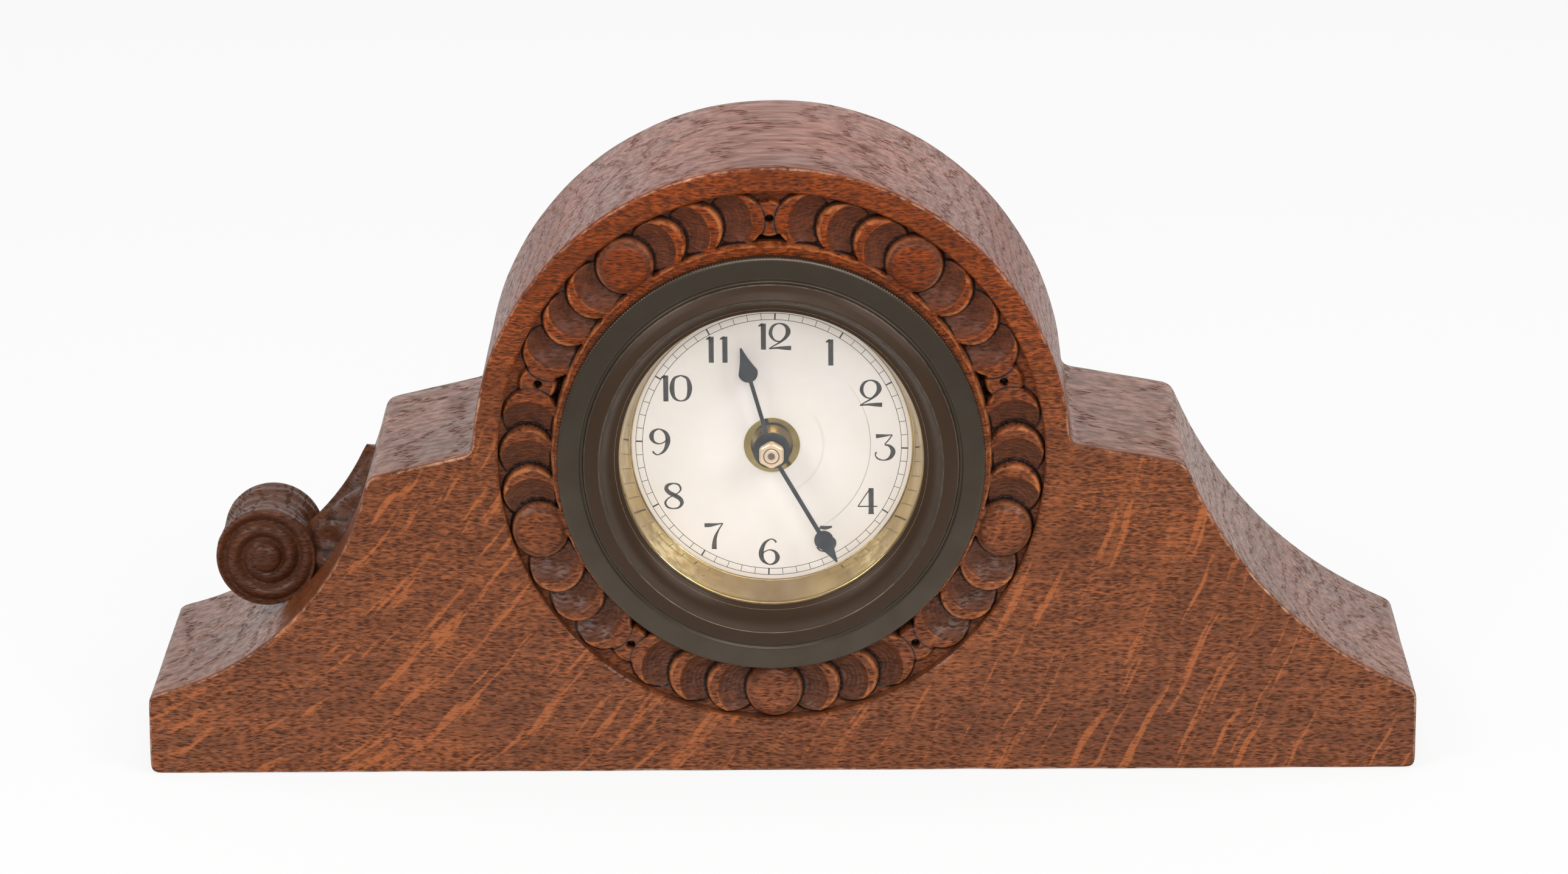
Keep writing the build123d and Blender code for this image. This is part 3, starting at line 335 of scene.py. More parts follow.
outline, facing = case_outline()
along = np.roll(outline, -1, axis=0) - np.roll(outline, 1, axis=0)
along /= np.hypot(*along.T)[:, None]
outward = np.stack([along[:, 1], -along[:, 0]], axis=-1)
swing = np.roll(outward, -corner_reach, axis=0) - np.roll(outward, corner_reach, axis=0)
corner = np.einsum("ij,ij->i", swing, along)
round_turns = np.arange(outline_count) / outline_count
print("outline of", outline_count, "points,", np.ptp(outline, axis=0).round(1), "mm across")

# %% [markdown]
# ## The oak block
#
# The block has a hole right through it for the movement, so its skin is a doughnut: go out over the front
# face, round the eased edge, back along the depth, in over the back, forward through the bore and out
# over the floor of the carved recess, and you are where you began. That makes it one closed grid, with
# the outline in one direction and that round trip in the other. The edges were eased by hand, so their
# radius wanders. Worn edges and corners, with a painted highlight along them, and painted shade that
# deepens down into the recess are marked on the points, for the finish to pick up.

# %% Oak block
ring_inner = 56.6
ring_outer = 71.7
ring_depth = 7.5
bore_radius = 42.4
edge_radius = 1.35
edge_wander = 0.35
back_edge_radius = 2.2
face_wave = 0.10
rim_chamfer = 0.45
rim_wander = 0.15
recess_half = 7.6
recess_start = 0.2
front_shares = (*np.linspace(0, 0.9, 9), 0.96, 1.0)
back_shares = (0.04, 0.25, 0.5, 0.75, 1.0)
bore_shares = (0.7, 0.4)
edge_steps = 7
side_steps = 14
back_edge_steps = 5
side_drift = 0.13
corner_limits = (0.3, 0.6)
mean_wear_and_highlight_share = 0.55
corner_wear_and_highlight_share = 0.45
back_wear_share = 0.5


def on_circle(radius):
    """Points of that radius at the turns that face the outline's points."""
    return np.broadcast_to(radius, facing.shape)[:, None] * spokes(facing)


def block_rows():
    """Rows of the round trip over the block: their loops in the drawing, their depths, and how far their
    edges are rubbed pale, with a painted highlight on them."""
    ease = edge_radius + edge_wander * ripple(round_turns, waves=40, seed=3)
    back_ease = back_edge_radius + edge_wander * ripple(round_turns, waves=30, seed=4)
    wobble = face_wave * (1 + ripple(round_turns, waves=60, seed=5))
    # The rubbing is patchy, and along the front edge it is narrowest at the middle of the rounding, where it
    # is also a painted highlight.
    worn_and_highlighted = mean_wear_and_highlight_share + (1 - mean_wear_and_highlight_share) * ripple(round_turns, waves=90, seed=6)
    corner_wear_and_highlight = corner_wear_and_highlight_share * smooth(corner, *corner_limits) * np.maximum(worn_and_highlighted, 0)
    hull = outline - outward * wobble[:, None]
    rim = on_circle(ring_outer + rim_chamfer + rim_wander * ripple(round_turns, waves=50, seed=7))
    rows = []

    def inset(distance):
        """The outline drawn in by a distance."""
        return hull - outward * distance[:, None]

    def lay(loop, depth, wear_and_highlight=0.0):
        """Adds a row."""
        rows.append((loop, np.broadcast_to(depth, outline_count), np.broadcast_to(wear_and_highlight, outline_count)))

    edge = inset(ease)
    for share in front_shares:
        lay(rim + (edge - rim) * share, 0.0)
    for turn in np.linspace(0, math.pi / 2, edge_steps)[1:]:
        lay(inset(ease * (1 - math.sin(turn))), ease * (math.cos(turn) - 1), worn_and_highlighted * math.sin(2 * turn) ** 4)
    for share in np.linspace(0, 1, side_steps)[1:]:
        drift = ripple(round_turns + side_drift * share, waves=24, seed=8)
        wave = wobble * math.sin(math.pi * share) * drift
        lay(inset(np.maximum(wave, 0)), -ease + (back_ease + ease - case_depth) * share, corner_wear_and_highlight)
    for turn in np.linspace(0, math.pi / 2, back_edge_steps)[1:]:
        depth = back_ease * (1 - math.sin(turn)) - case_depth
        lay(inset(back_ease * (1 - math.cos(turn))), depth, back_wear_share * worn_and_highlighted)
    back_edge, back_rim = rows[-1][0], on_circle(bore_radius + rim_chamfer)
    for share in back_shares:
        lay(back_edge + (back_rim - back_edge) * share, -case_depth)
    trip = [
        (bore_radius, rim_chamfer - case_depth),
        *((bore_radius, -case_depth * share) for share in bore_shares),
        (bore_radius, -rim_chamfer), (bore_radius + rim_chamfer, 0), (ring_inner - rim_chamfer, 0),
        (ring_inner, -rim_chamfer), (ring_inner, -ring_depth), (ring_outer, -ring_depth),
        (ring_outer, -ring_depth / 2), (ring_outer, -rim_chamfer),
    ]
    for radius, depth in trip:
        lay(on_circle(radius), depth)
    return [np.stack(parts) for parts in zip(*rows)]


def make_block():
    drawn, depth, wear_and_highlight = block_rows()
    x, y = drawn[..., 0], drawn[..., 1]
    in_recess = np.abs(np.hypot(x, y) - (ring_inner + ring_outer) / 2) < recess_half
    in_recess = in_recess & (depth > -ring_depth - rim_chamfer)
    # Painted shade, darker the deeper it lies in the recess.
    shade_and_lacquer = smooth(-depth, recess_start, ring_depth) * in_recess
    face = smooth(np.minimum(-depth, depth + case_depth), edge_radius, 0.0)
    marks = {"wear_and_highlight": wear_and_highlight, "shade_and_lacquer": shade_and_lacquer, "face": face}
    piece = make_piece("oak_block", [shell(stand(x, y, depth), True)], "case", marks=marks)
    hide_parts("case_body")
    return piece


oak_block = make_block()

# %% [markdown]
# ## The carved ring
#
# The recess round the dial was cut into five runs of coins. Each run has a full boss in the middle, and
# three coins slide out from under it on either side, each one lower and showing as a crescent with a flat
# rim and a scooped inside. Where two runs meet, the last coins are joined by a little bridge with a hole
# drilled through it. A stack of separate discs would show knife-sharp seams, and the real thing is one
# surface, cut by a gouge. So it is a height above the recess, worked out over turn and radius: coins are
# laid on from the lowest to the highest, each with a slightly soft edge. Small fixed differences between
# the coins keep the hand in it.

# %% Coins and bosses
coin_radius = 7.35
dish_radius = 8.6
dish_shift = 4.4
dish_depth = 3.6
boss_radius = 7.6
boss_level = 0.2
boss_bevel = 2.3
boss_drop = 1.7
tool_mark = 0.045
tool_pitch = 1.15
ring_path_inset = 0.15
coin_edge_drop = 0.5
coin_edge_reach = 0.7
dish_full_share = 0.9
dish_power = 0.8
boss_line = 0.12
boss_line_half = 0.3
boss_power = 1.2
tool_start = 0.25
# Painted sheen and shade: a grey-brown tone in the coins' dishes and on the bosses' bevels stands in for the
# wax's reflection there, and darkens them.
dish_sheen_and_shade = 0.62
dish_sheen_start = 0.12
bevel_sheen = 0.45
bevel_sheen_start = 0.15

ring_path = (ring_inner + ring_outer) / 2 - ring_path_inset


def coin(x, y, turn, side, level, wander):
    """One crescent: how much it covers, its height, and the painted sheen and shade in its dish, whose
    middle is shifted to the boss."""
    off_x, off_y = x - ring_path * math.cos(turn), y - ring_path * math.sin(turn)
    shift = side * (dish_shift + wander[0])
    inside = np.hypot(off_x - shift * math.sin(turn), off_y + shift * math.cos(turn))
    dish = np.clip(1 - (inside / (dish_radius + wander[1])) ** 2, 0, None)
    marks = tool_mark * np.sin(TURN * inside / tool_pitch + wander[2]) * smooth(dish, 0, tool_start)
    cover = coin_radius + wander[3] - np.hypot(off_x, off_y)
    edge = coin_edge_drop * np.exp(-np.clip(cover, 0, None) / coin_edge_reach)
    scoop = dish_depth * np.clip(dish / dish_full_share, 0, 1) ** dish_power
    return cover, level + wander[4] - scoop + marks - edge, dish_sheen_and_shade * smooth(dish, 0.0, dish_sheen_start)


def boss(x, y, turn):
    """The full coin in the middle of a run: a flat top and a bevel that rounds off into its edge, with
    a painted sheen on the bevel.
    """
    across = np.hypot(x - ring_path * math.cos(turn), y - ring_path * math.sin(turn))
    past = across - boss_radius + boss_bevel
    bevel = np.clip(past / boss_bevel, 0, 1)
    line = boss_line * np.exp(-((past / boss_line_half) ** 2))
    top = -boss_level - boss_drop * bevel**boss_power - line
    return boss_radius - across, top, bevel_sheen * smooth(bevel, 0.0, bevel_sheen_start)


print("coins lie on a circle of radius", round(ring_path, 2), "mm")

# %% Height of the carving
group_count = 5
coin_step = math.radians(9.3)
coins_each_side = 3
coin_level = 1.1
coin_level_step = 0.75
bridge_radius = 5.0
bridge_level = 2.45
bridge_hole = 1.0
pit_reach = 9.0
pit_side = 1.5
groove_depth = 4.8
inner_band = 1.1
inner_band_level = 0.9
cut_softness = 0.6
bridge_sag = 0.4
pit_run = 2.0
foot_shade = 1.5
# How far chance moves a coin's dish, its dish's radius, its gouge marks, its edge, its level and its turn.
coin_wander = np.array([0.3, 0.2, 3.0, 0.15, 0.12, 0.004])


def carved_height(x, y):
    """Height over the ring, from 0 at the face of the case down into the recess, where holes are
    drilled, and the painted sheen and shade.

    A coin of radius R at distance d from its middle covers what lies below it with the weight of an S,
    as wide as the cut is soft, about d = R. Its height is its level less a dish: depth times a power
    of 1 - (distance from the dish's middle / the dish's radius) squared. Fine waves in that distance
    are the marks of the gouge. Painted sheen and shade lie in the dishes, and a painted shadow, darkest,
    at the foot of each coin that stands above its neighbours."""
    random = np.random.default_rng(11)
    nearest = np.full_like(x, np.inf)
    bridges = []
    for group in range(group_count):
        turn = clock_turn(group / group_count)
        bridges.append(np.hypot(x - ring_path * math.cos(turn), y - ring_path * math.sin(turn)))
        nearest = np.minimum(nearest, bridges[-1])
    inner_side = smooth(ring_path + pit_side - np.hypot(x, y), -pit_side, pit_side)
    pit = smooth(nearest, pit_reach, pit_reach - pit_run) * inner_side
    height = -groove_depth - (ring_depth - groove_depth) * pit
    dust_sheen_and_shade = np.zeros_like(x)
    for step in range(coins_each_side, -1, -1):
        for group in range(group_count):
            boss_turn = clock_turn((group + 0.5) / group_count)
            for side in (-1, 1) if step else (1,):
                wander = coin_wander * random.uniform(-1, 1, len(coin_wander))
                turn = boss_turn + side * step * coin_step + wander[5]
                level = -coin_level - coin_level_step * (step - 1)
                cover, top, own_sheen_and_shade = coin(x, y, turn, side, level, wander) if step else boss(x, y, turn)
                over = smooth(cover, -cut_softness / 2, cut_softness / 2)
                height = height + (top - height) * over
                # Painted shadow at the foot of each coin that stands higher, and painted sheen and shade in
                # its own dish.
                dust_sheen_and_shade = np.maximum(dust_sheen_and_shade, smooth(cover, -foot_shade, 0)) * (1 - over) + own_sheen_and_shade * over
        if step == coins_each_side:
            for across in bridges:
                top = np.maximum(height, -bridge_level - bridge_sag * (across / bridge_radius) ** 4)
                height = height + (top - height) * smooth(bridge_radius - across, -cut_softness, cut_softness)
    band = smooth(ring_inner + inner_band - np.hypot(x, y), -cut_softness / 2, cut_softness / 2)
    holes = smooth(bridge_hole - nearest, -cut_softness / 3, cut_softness / 3)
    return np.maximum(height, height + (-inner_band_level - height) * band), holes, dust_sheen_and_shade * (1 - band)


print("carving of", group_count, "runs with", 2 * coins_each_side, "coins and a boss each")

# %% Carved ring
ring_turns = 1440
ring_lines = 56
bridge_hole_depth = 4.0
ring_overlap = 0.06
edge_passes = 10
groove_shade_share = 0.9
groove_run = 0.6
cavity_shade_limits = (0.05, 0.7)
crest_limits = (0.1, 0.45)


def level_out(height, passes):
    """The height blurred both ways: round the ring by a bell, and across it by means of neighbours,
    again and again."""
    blurred = soften(height.T, passes / 4).T
    for _ in range(passes):
        middle = (blurred[:-2] + 2 * blurred[1:-1] + blurred[2:]) / 4
        blurred = np.concatenate([blurred[:1], middle, blurred[-1:]])
    return blurred


def with_foot(values, foot):
    """Values over the ring, then one value for the two loops at its foot."""
    return np.concatenate([values, np.full((2, ring_turns), foot)])


def make_ring():
    turn = TURN * np.arange(ring_turns) / ring_turns
    radius = np.linspace(ring_inner - ring_overlap, ring_outer + ring_overlap, ring_lines)
    x, y = radius[:, None] * np.cos(turn), radius[:, None] * np.sin(turn)
    height, holes, dust_sheen_and_shade = carved_height(x, y)
    bulge = height - level_out(height, edge_passes)
    height = height - bridge_hole_depth * holes
    # Painted shade: darker down the grooves, black in the drilled holes and darker in every hollow of the
    # carving; the crests are rubbed orange, with a painted highlight on them too.
    groove_shade = groove_shade_share * smooth(-height, groove_depth - groove_run, ring_depth) + holes
    shade_and_lacquer = np.maximum.reduce([smooth(-bulge, *cavity_shade_limits), groove_shade, dust_sheen_and_shade])
    marks = {
        "shade_and_lacquer": with_foot(shade_and_lacquer, 1.0),
        "wear_and_highlight": with_foot(smooth(bulge, *crest_limits), 0.0),
        "face": with_foot(np.ones_like(height), 0.0),
    }
    x, y = np.concatenate([x, x[[-1, 0]]]), np.concatenate([y, y[[-1, 0]]])
    points = stand(x, y, with_foot(height, -ring_depth - bridge_hole_depth))
    piece = make_piece("carved_ring", [shell(points, True)], "case", sharp=math.radians(75), marks=marks)
    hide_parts("case_body")
    return piece


carved_ring = make_ring()

# %% [markdown]
# ## The leaf scroll
#
# On the left sweep a carver's scroll lies across the slope: a rolled volute with a spiral cut into both
# its ends, and a ribbed leaf that climbs from it to the shoulder. The volute could be turned and then
# cut, but one grid does both: start at the eye, go out over the spiral, over the roll and back in to the
# other eye. The leaf is a row of cross-sections along the slope, with a midrib, side veins and a lobed
# edge.

# %% Where the scroll lies
scroll_radius = 13.4
scroll_sink = 0.8

slope_centre = hollow_centre(left_shoulder, (case_left, case_base + end_height), left_sweep_radius)
slope_end = np.array([case_left, case_base + end_height]) - slope_centre
slope_top = left_shoulder - slope_centre
eye_turn = (turn_of(slope_end) + turn_of(slope_top)) / 2
eye_reach = left_sweep_radius - scroll_radius + scroll_sink
scroll_middle = slope_centre + eye_reach * spokes(eye_turn)
scroll_depth = -case_depth / 2
print("scroll about", scroll_middle.round(1), "mm from the dial's axis")

# %% Volute
scroll_half_width = 13.5
scroll_eye = 4.0
scroll_eye_proud = 1.6
scroll_turns = 1.75
scroll_cut = 2.2
scroll_edge = 1.0
scroll_waist = 1.3
scroll_reeds = 5
eye_start = 0.25
eye_lines = 12
eye_gap = 0.15
eye_run = 0.4
spiral_floor = 0.02
spiral_power = 0.375
spiral_end_limits = (0.2, 1.3)
reed_height = 0.28
reed_limits = (0.02, 0.2)
reed_shade = 0.5
reed_shade_limits = (0.1, 0.3)
knife_height = 0.12
knife_waves = (9, 5)


def volute(turns=220, lines=44, across=30):
    """A roll with spiral ends. Out from the eye, the end's height is a dome, then a spiral groove: the
    cut's depth times 1 less a power of the squared sine of the phase, which changes with the radius
    and with the turn round the eye. Over the roll, the radius draws in at the waist and has fine reeds
    along it."""
    turn = TURN * np.arange(turns) / turns
    eye = np.linspace(eye_start, scroll_eye, eye_lines)
    radius = np.concatenate([eye, np.linspace(scroll_eye + eye_gap, scroll_radius, lines)])
    radius = radius[:, None] + 0 * turn
    dome = scroll_eye_proud * np.sqrt(np.clip(1 - (radius / scroll_eye) ** 2, 0, 1))
    pitch = (scroll_radius - scroll_edge - scroll_eye) / scroll_turns
    phase = (radius - scroll_eye) / pitch - turn / TURN
    cut = scroll_cut * (1 - (np.sin(math.pi * phase) ** 2 + spiral_floor) ** spiral_power)
    cut = cut * smooth(radius, scroll_eye - eye_run, scroll_eye + eye_run)
    cut = cut * smooth(scroll_radius - radius, *spiral_end_limits)
    ease = np.clip(radius - scroll_radius + scroll_edge, 0, scroll_edge)
    lift = dome - cut - scroll_edge + np.sqrt(np.clip(scroll_edge**2 - ease**2, 0, None))
    share = np.linspace(-1, 1, across)[1:-1, None] + 0 * turn
    draw = scroll_waist * np.cos(share * math.pi / 2) ** 2
    reeds = np.cos(TURN * scroll_reeds * (share + 1) / 2) * smooth(1 - np.abs(share), *reed_limits)
    reeds = reed_height * reeds
    knife = knife_height * np.sin(knife_waves[0] * turn + knife_waves[1] * share)
    roll = scroll_radius - draw + reeds + knife
    half = scroll_half_width - scroll_edge
    reach = np.concatenate([radius, roll, radius[::-1]])
    depth = np.concatenate([scroll_half_width + lift, -half * share, -scroll_half_width - lift[::-1]])
    # Painted shade down the spiral groove, and between the reeds.
    groove = (cut / scroll_cut) ** 2
    shade_and_lacquer = np.concatenate([groove, reed_shade * smooth(-reeds, *reed_shade_limits), groove[::-1]])
    x = scroll_middle[0] + reach * np.cos(turn)
    y = scroll_middle[1] + reach * np.sin(turn)
    return stand(x, y, scroll_depth + depth), shade_and_lacquer


# %% Leaf
leaf_rise = (10.2, 5.6, 1.5)
leaf_half = (9.2, 13.0, 1.2)
leaf_lobes = 4.0
leaf_lobe_share = 0.13
leaf_rib = 1.1
leaf_rib_half = 1.1
leaf_foot = 3.0
leaf_tip_back = 3.0
vein_cut = 1.5
vein_slant = 0.8
vein_floor = 0.01
vein_power = 0.4
vein_limits = (0.05, 0.3)
crown_powers = (2.6, 0.8)
crown_limits = (0.2, 2.0)
leaf_edge_shade = 0.6
leaf_edge_limits = (0.85, 1.0)


def leaf(rows=120, columns=96):
    """Cross-sections up the slope. The rise and the half-width follow parabolas through root, middle
    and tip, and the half-width swells and draws in to make lobes. The top is the rise times a power of
    1 less a power of w, with a raised midrib, less veins that run forward from the midrib, where w
    goes from -1 to 1 across the leaf. The underside lies inside the oak."""
    tip_turn = math.atan2(slope_top[1] - leaf_tip_back, slope_top[0])
    share = np.linspace(0, 1, rows)[:, None]
    turn = eye_turn + (tip_turn - eye_turn) * share
    knots = (2 * (share - 0.5) * (share - 1), 4 * share * (1 - share), 2 * share * (share - 0.5))
    rise = sum(knot * value for knot, value in zip(knots, leaf_rise))
    half = sum(knot * value for knot, value in zip(knots, leaf_half))
    half = half * (1 + leaf_lobe_share * np.cos(TURN * leaf_lobes * share))
    across = np.linspace(-1, 1, columns // 2)
    w = np.concatenate([across, across[::-1]])[None]
    top = np.concatenate([np.ones(columns // 2), np.zeros(columns // 2)])[None]
    vein = np.sin(math.pi * (leaf_lobes * share - vein_slant * np.abs(w) + 0.5)) ** 2
    cuts = vein_cut * (1 - (vein + vein_floor) ** vein_power) * smooth(np.abs(w), *vein_limits)
    rib = leaf_rib * np.exp(-((w * half / leaf_rib_half) ** 4))
    crown = rise * (1 - np.abs(w) ** crown_powers[0]) ** crown_powers[1]
    cuts = (cuts - rib) * smooth(crown, *crown_limits)
    above = np.where(top > 0, crown - cuts, -leaf_foot)
    reach = left_sweep_radius - above
    x = slope_centre[0] + reach * np.cos(turn)
    y = slope_centre[1] + reach * np.sin(turn)
    # Painted shade in the veins, along the leaf's edges where it meets the slope, and under it.
    edge_shade = leaf_edge_shade * smooth(np.abs(w), *leaf_edge_limits)
    shade_and_lacquer = np.where(top > 0, cuts / vein_cut + edge_shade, 1) + 0 * share
    return stand(x, y, scroll_depth + w * half), shade_and_lacquer


# %% Volute and leaf together
def make_scroll():
    volute_points, volute_hollow = volute()
    leaf_points, leaf_hollow = leaf()
    shade_and_lacquer = np.clip(np.concatenate([volute_hollow.ravel(), leaf_hollow.ravel()]), 0, 1)
    marks = {"wear_and_highlight": 0 * shade_and_lacquer, "shade_and_lacquer": shade_and_lacquer, "face": 1 + 0 * shade_and_lacquer}
    shells = [shell(volute_points, False), shell(leaf_points, False)]
    piece = make_piece("leaf_scroll", shells, "case", sharp=math.radians(60), marks=marks)
    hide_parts("shoulder_carving")
    return piece


leaf_scroll = make_scroll()

# %% [markdown]
# ## Turned brass and bronze
#
# The bezel, the sight ring, the hand nut and the setting knob all came off a lathe. A profile is drawn
# once as radius and depth, and carried round the axis. Where an edge was milled for the fingers, fine
# teeth are cut into the rows that stand at that edge: the radius is lowered by a triangle wave as it goes
# round. Blender's Spin would do as much for a plain ring, but not the teeth.

# %% Turning
def turned(profile, columns, milled=(), teeth=0, tooth_depth=0.0):
    """A profile of radius and depth pairs carried round an axis. The rows named as milled are cut by
    teeth."""
    profile = np.asarray(profile, float)
    turn = TURN * np.arange(columns) / columns
    wave = np.abs((turn / TURN * teeth) % 1 - 0.5) * 2
    cut = np.zeros(len(profile))
    cut[list(milled)] = tooth_depth
    radius = profile[:, :1] - cut[:, None] * wave
    return shell(stand(radius * np.cos(turn), radius * np.sin(turn), profile[:, 1:]), True)


def rounded(profile, radius, steps=3, most_share=0.45):
    """A closed profile with each corner cut to a short arc-like curve through two points at that
    distance."""
    points = np.asarray(profile, float)
    before, after = np.roll(points, 1, axis=0) - points, np.roll(points, -1, axis=0) - points
    far_before, far_after = np.hypot(*before.T)[:, None], np.hypot(*after.T)[:, None]
    start = points + before / far_before * np.minimum(radius, far_before * most_share)
    stop = points + after / far_after * np.minimum(radius, far_after * most_share)
    share = np.linspace(0, 1, steps)[None, :, None]
    start, stop, points = start[:, None], stop[:, None], points[:, None]
    curve = start * (1 - share) ** 2 + 2 * points * share * (1 - share) + stop * share**2
    return curve.reshape(-1, 2)


# %% Bezel
bezel_radius = (bezel_high.x - bezel_low.x) / 2 / MM
bezel_front = front_reach("bezel")[1]
glass_front = front_reach("glass")[1]
bezel_columns = 1760
bezel_teeth = 440
bezel_tooth = 0.28
bezel_edge = (2.3, 5.6)
bezel_body_radius = 55.0
bezel_flat_radius = 55.2
bezel_flat_rise = 0.25
bezel_flat_end = (50.2, 6.0)
bezel_groove = ((49.9, 5.75), (49.3, 5.75))
bezel_step = (49.0, 6.9)
bezel_shoulder = (47.3, 7.9)
bezel_crown_edge = 45.6
bezel_crown_drop = 0.1
bezel_crown_radius = 44.8
bezel_lip = (39.9, 0.35)
bezel_seat = (40.9, 1.2)
bezel_relief = (46.0, 3.2)
bezel_foot_radius = 52.05
bezel_sag = 0.9
bezel_rounding = 0.42
cone_steps = 9
rim_margins = (0.3, 0.1)
lacquer_limits = (-0.1, 0.3)
lacquer_ridge_limits = (0.1, 0.5)
ridge_wear_and_highlight_limits = (0.5, 0.05)


def make_bezel():
    """The profile runs from the body over the milled edge, the flat and the step to the crown, down
    the dished cone to the lip, and back behind the glass. The ridges are rubbed pale, with a painted
    highlight along them, and the cone is marked for its lacquer."""
    low, high = bezel_edge
    share = np.linspace(0, 1, cone_steps)[1:-1]
    sag = bezel_sag * np.sin(math.pi * share)
    cone_radius = bezel_crown_radius + (bezel_lip[0] - bezel_crown_radius) * share + sag
    cone_depth = bezel_front + (bezel_lip[1] - bezel_front) * share - sag
    profile = rounded([
        (bezel_body_radius, 0.0), (bezel_body_radius, low), (bezel_radius, low), (bezel_radius, high),
        (bezel_flat_radius, high + bezel_flat_rise), bezel_flat_end, *bezel_groove, bezel_step,
        bezel_shoulder, (bezel_crown_edge, bezel_front - bezel_crown_drop), (bezel_crown_radius, bezel_front),
        *zip(cone_radius, cone_depth), bezel_lip, (bezel_lip[0], glass_front), (bezel_seat[0], glass_front),
        bezel_seat, (bezel_relief[0], bezel_seat[1]), bezel_relief, (bezel_foot_radius, bezel_relief[1]),
        (bezel_foot_radius, 0.0),
    ], bezel_rounding, 5)
    radius, depth = profile.T
    at_edge = (depth > low - rim_margins[1]) & (depth < high + rim_margins[1])
    rim = np.flatnonzero((radius > bezel_radius - rim_margins[0]) & at_edge)
    ridges = np.array([bezel_step, (bezel_crown_radius, bezel_front), (bezel_radius, high)])
    near = np.hypot(*(profile[:, None] - ridges).transpose(2, 0, 1)).min(axis=1)
    in_cone = smooth(bezel_step[0] - radius, *lacquer_limits) * (depth > glass_front)
    lacquer = in_cone * smooth(near, *lacquer_ridge_limits)
    marks = {"wear_and_highlight": smooth(near, *ridge_wear_and_highlight_limits), "shade_and_lacquer": lacquer}
    marks = {mark: np.repeat(values, bezel_columns) for mark, values in marks.items()}
    skin = turned(profile, bezel_columns, milled=rim, teeth=bezel_teeth, tooth_depth=bezel_tooth)
    piece = make_piece("milled_bezel", [skin], "case", sharp=math.radians(30), marks=marks)
    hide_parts("bezel")
    return piece


milled_bezel = make_bezel()

# %% Sight ring
ring_back, ring_front = front_reach("sight_ring")
sight_outer = (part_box("sight_ring")[1].x - dial_x) / MM
sight_top_radius = 39.85
sight_foot_radius = 37.5
sight_chamfer = (0.2, 0.12)
sight_wall_inset = (0.25, 0.4)
sight_wall_short = 1.5
sight_bulge = 0.3
sight_bead = 0.36
sight_bead_inset = (0.2, 0.04)
sight_columns = 360
# Where round the ring the painted highlights and the painted shade lie: the middle and the spread in
# degrees, and how much.
sight_painted_highlights = ((224, 15, 1.0), (312, 12, 0.8), (185, 12, 0.5))
sight_painted_shade = ((270, 26, 0.7),)
sight_top_painted_shade = 0.5
sight_top_limits = (0.0, 0.6)


def make_sight_ring():
    """A shallow brass cone that bulges a little, with a small bead where it meets the dial, and painted
    highlights and painted shade at set places round it.
    """
    share = np.linspace(0, 1, 10)
    wall = sight_top_radius - sight_wall_inset[0] + (sight_foot_radius - sight_top_radius) * share
    wall = wall + sight_bulge * np.sin(math.pi * share)
    depth = ring_front - sight_wall_inset[1] - (ring_front - ring_back - sight_wall_short) * share
    bead_turn = np.linspace(math.pi * 0.5, math.pi * 1.5, 7)
    bead_radius = sight_foot_radius - sight_bead_inset[0] + sight_bead * np.cos(bead_turn)
    bead_depth = ring_back + sight_bead + sight_bead_inset[1] + sight_bead * np.sin(bead_turn)
    profile = [
        (sight_outer, ring_front), (sight_top_radius + sight_chamfer[0], ring_front),
        (sight_top_radius, ring_front - sight_chamfer[1]), *zip(wall, depth), *zip(bead_radius, bead_depth),
        (sight_foot_radius, ring_back), (sight_outer, ring_back),
    ]
    turn = np.degrees(TURN * np.arange(sight_columns) / sight_columns)

    def around(places):
        """Soft spots round the ring, for the painted highlights and the painted shade."""
        return sum(level * np.exp(-(((turn - middle) / spread) ** 2)) for middle, spread, level in places)

    # Painted shade over the upper half of the ring.
    top_painted_shade = sight_top_painted_shade * smooth(np.sin(np.radians(turn)), *sight_top_limits)
    marks = {"wear_and_highlight": around(sight_painted_highlights), "shade_and_lacquer": around(sight_painted_shade) + top_painted_shade}
    marks = {mark: np.tile(values, len(profile)) for mark, values in marks.items()}
    skin = turned(profile, sight_columns)
    piece = make_piece("turned_sight_ring", [skin], "case", sharp=math.radians(35), marks=marks)
    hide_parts("sight_ring")
    return piece


sight_ring = make_sight_ring()

# %% Hand nut and setting knob
nut_back, nut_front = front_reach("hand_nut")
knob_back, knob_front = front_reach("set_knob")
nut_half_flats = 3.2
nut_corner = 3.45
nut_dome = 0.12
nut_side_shares = (1.0, 1.0, 0.97, 0.9, 0.8)
nut_side_drops = (nut_front - nut_back, 0.6, 0.25, 0.05, 0.0)
# The nut's face from its edge inwards: the radius, the rise as a share of the dome, and the painted
# shade there.
nut_face = ((2.25, 0.5, 0), (2.1, 0.2, 0.9), (1.9, 0.2, 0.9), (1.75, 0.9, 0), (1.45, 1.0, 0),
            (1.05, 0.8, 0.3), (0.8, 0.3, 1), (0.3, 0.3, 1))
knob_radius = (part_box("set_knob")[1].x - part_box("set_knob")[0].x) / 2 / MM
knob_bore = 1.22
# The knob's profile: the radius as a share, and the distance from its front or from its back.
knob_front_rows = ((0.55, 0.0), (0.6, 1.2), (0.93, 1.6), (1.0, 2.0))
knob_back_rows = ((1.0, 0.9), (0.94, 0.35), (0.8, 0.0), (0.5, 0.0), (0.42, 0.3))
knob_sink = 0.35
knob_columns = 216
knob_teeth = 54
knob_tooth = 0.35


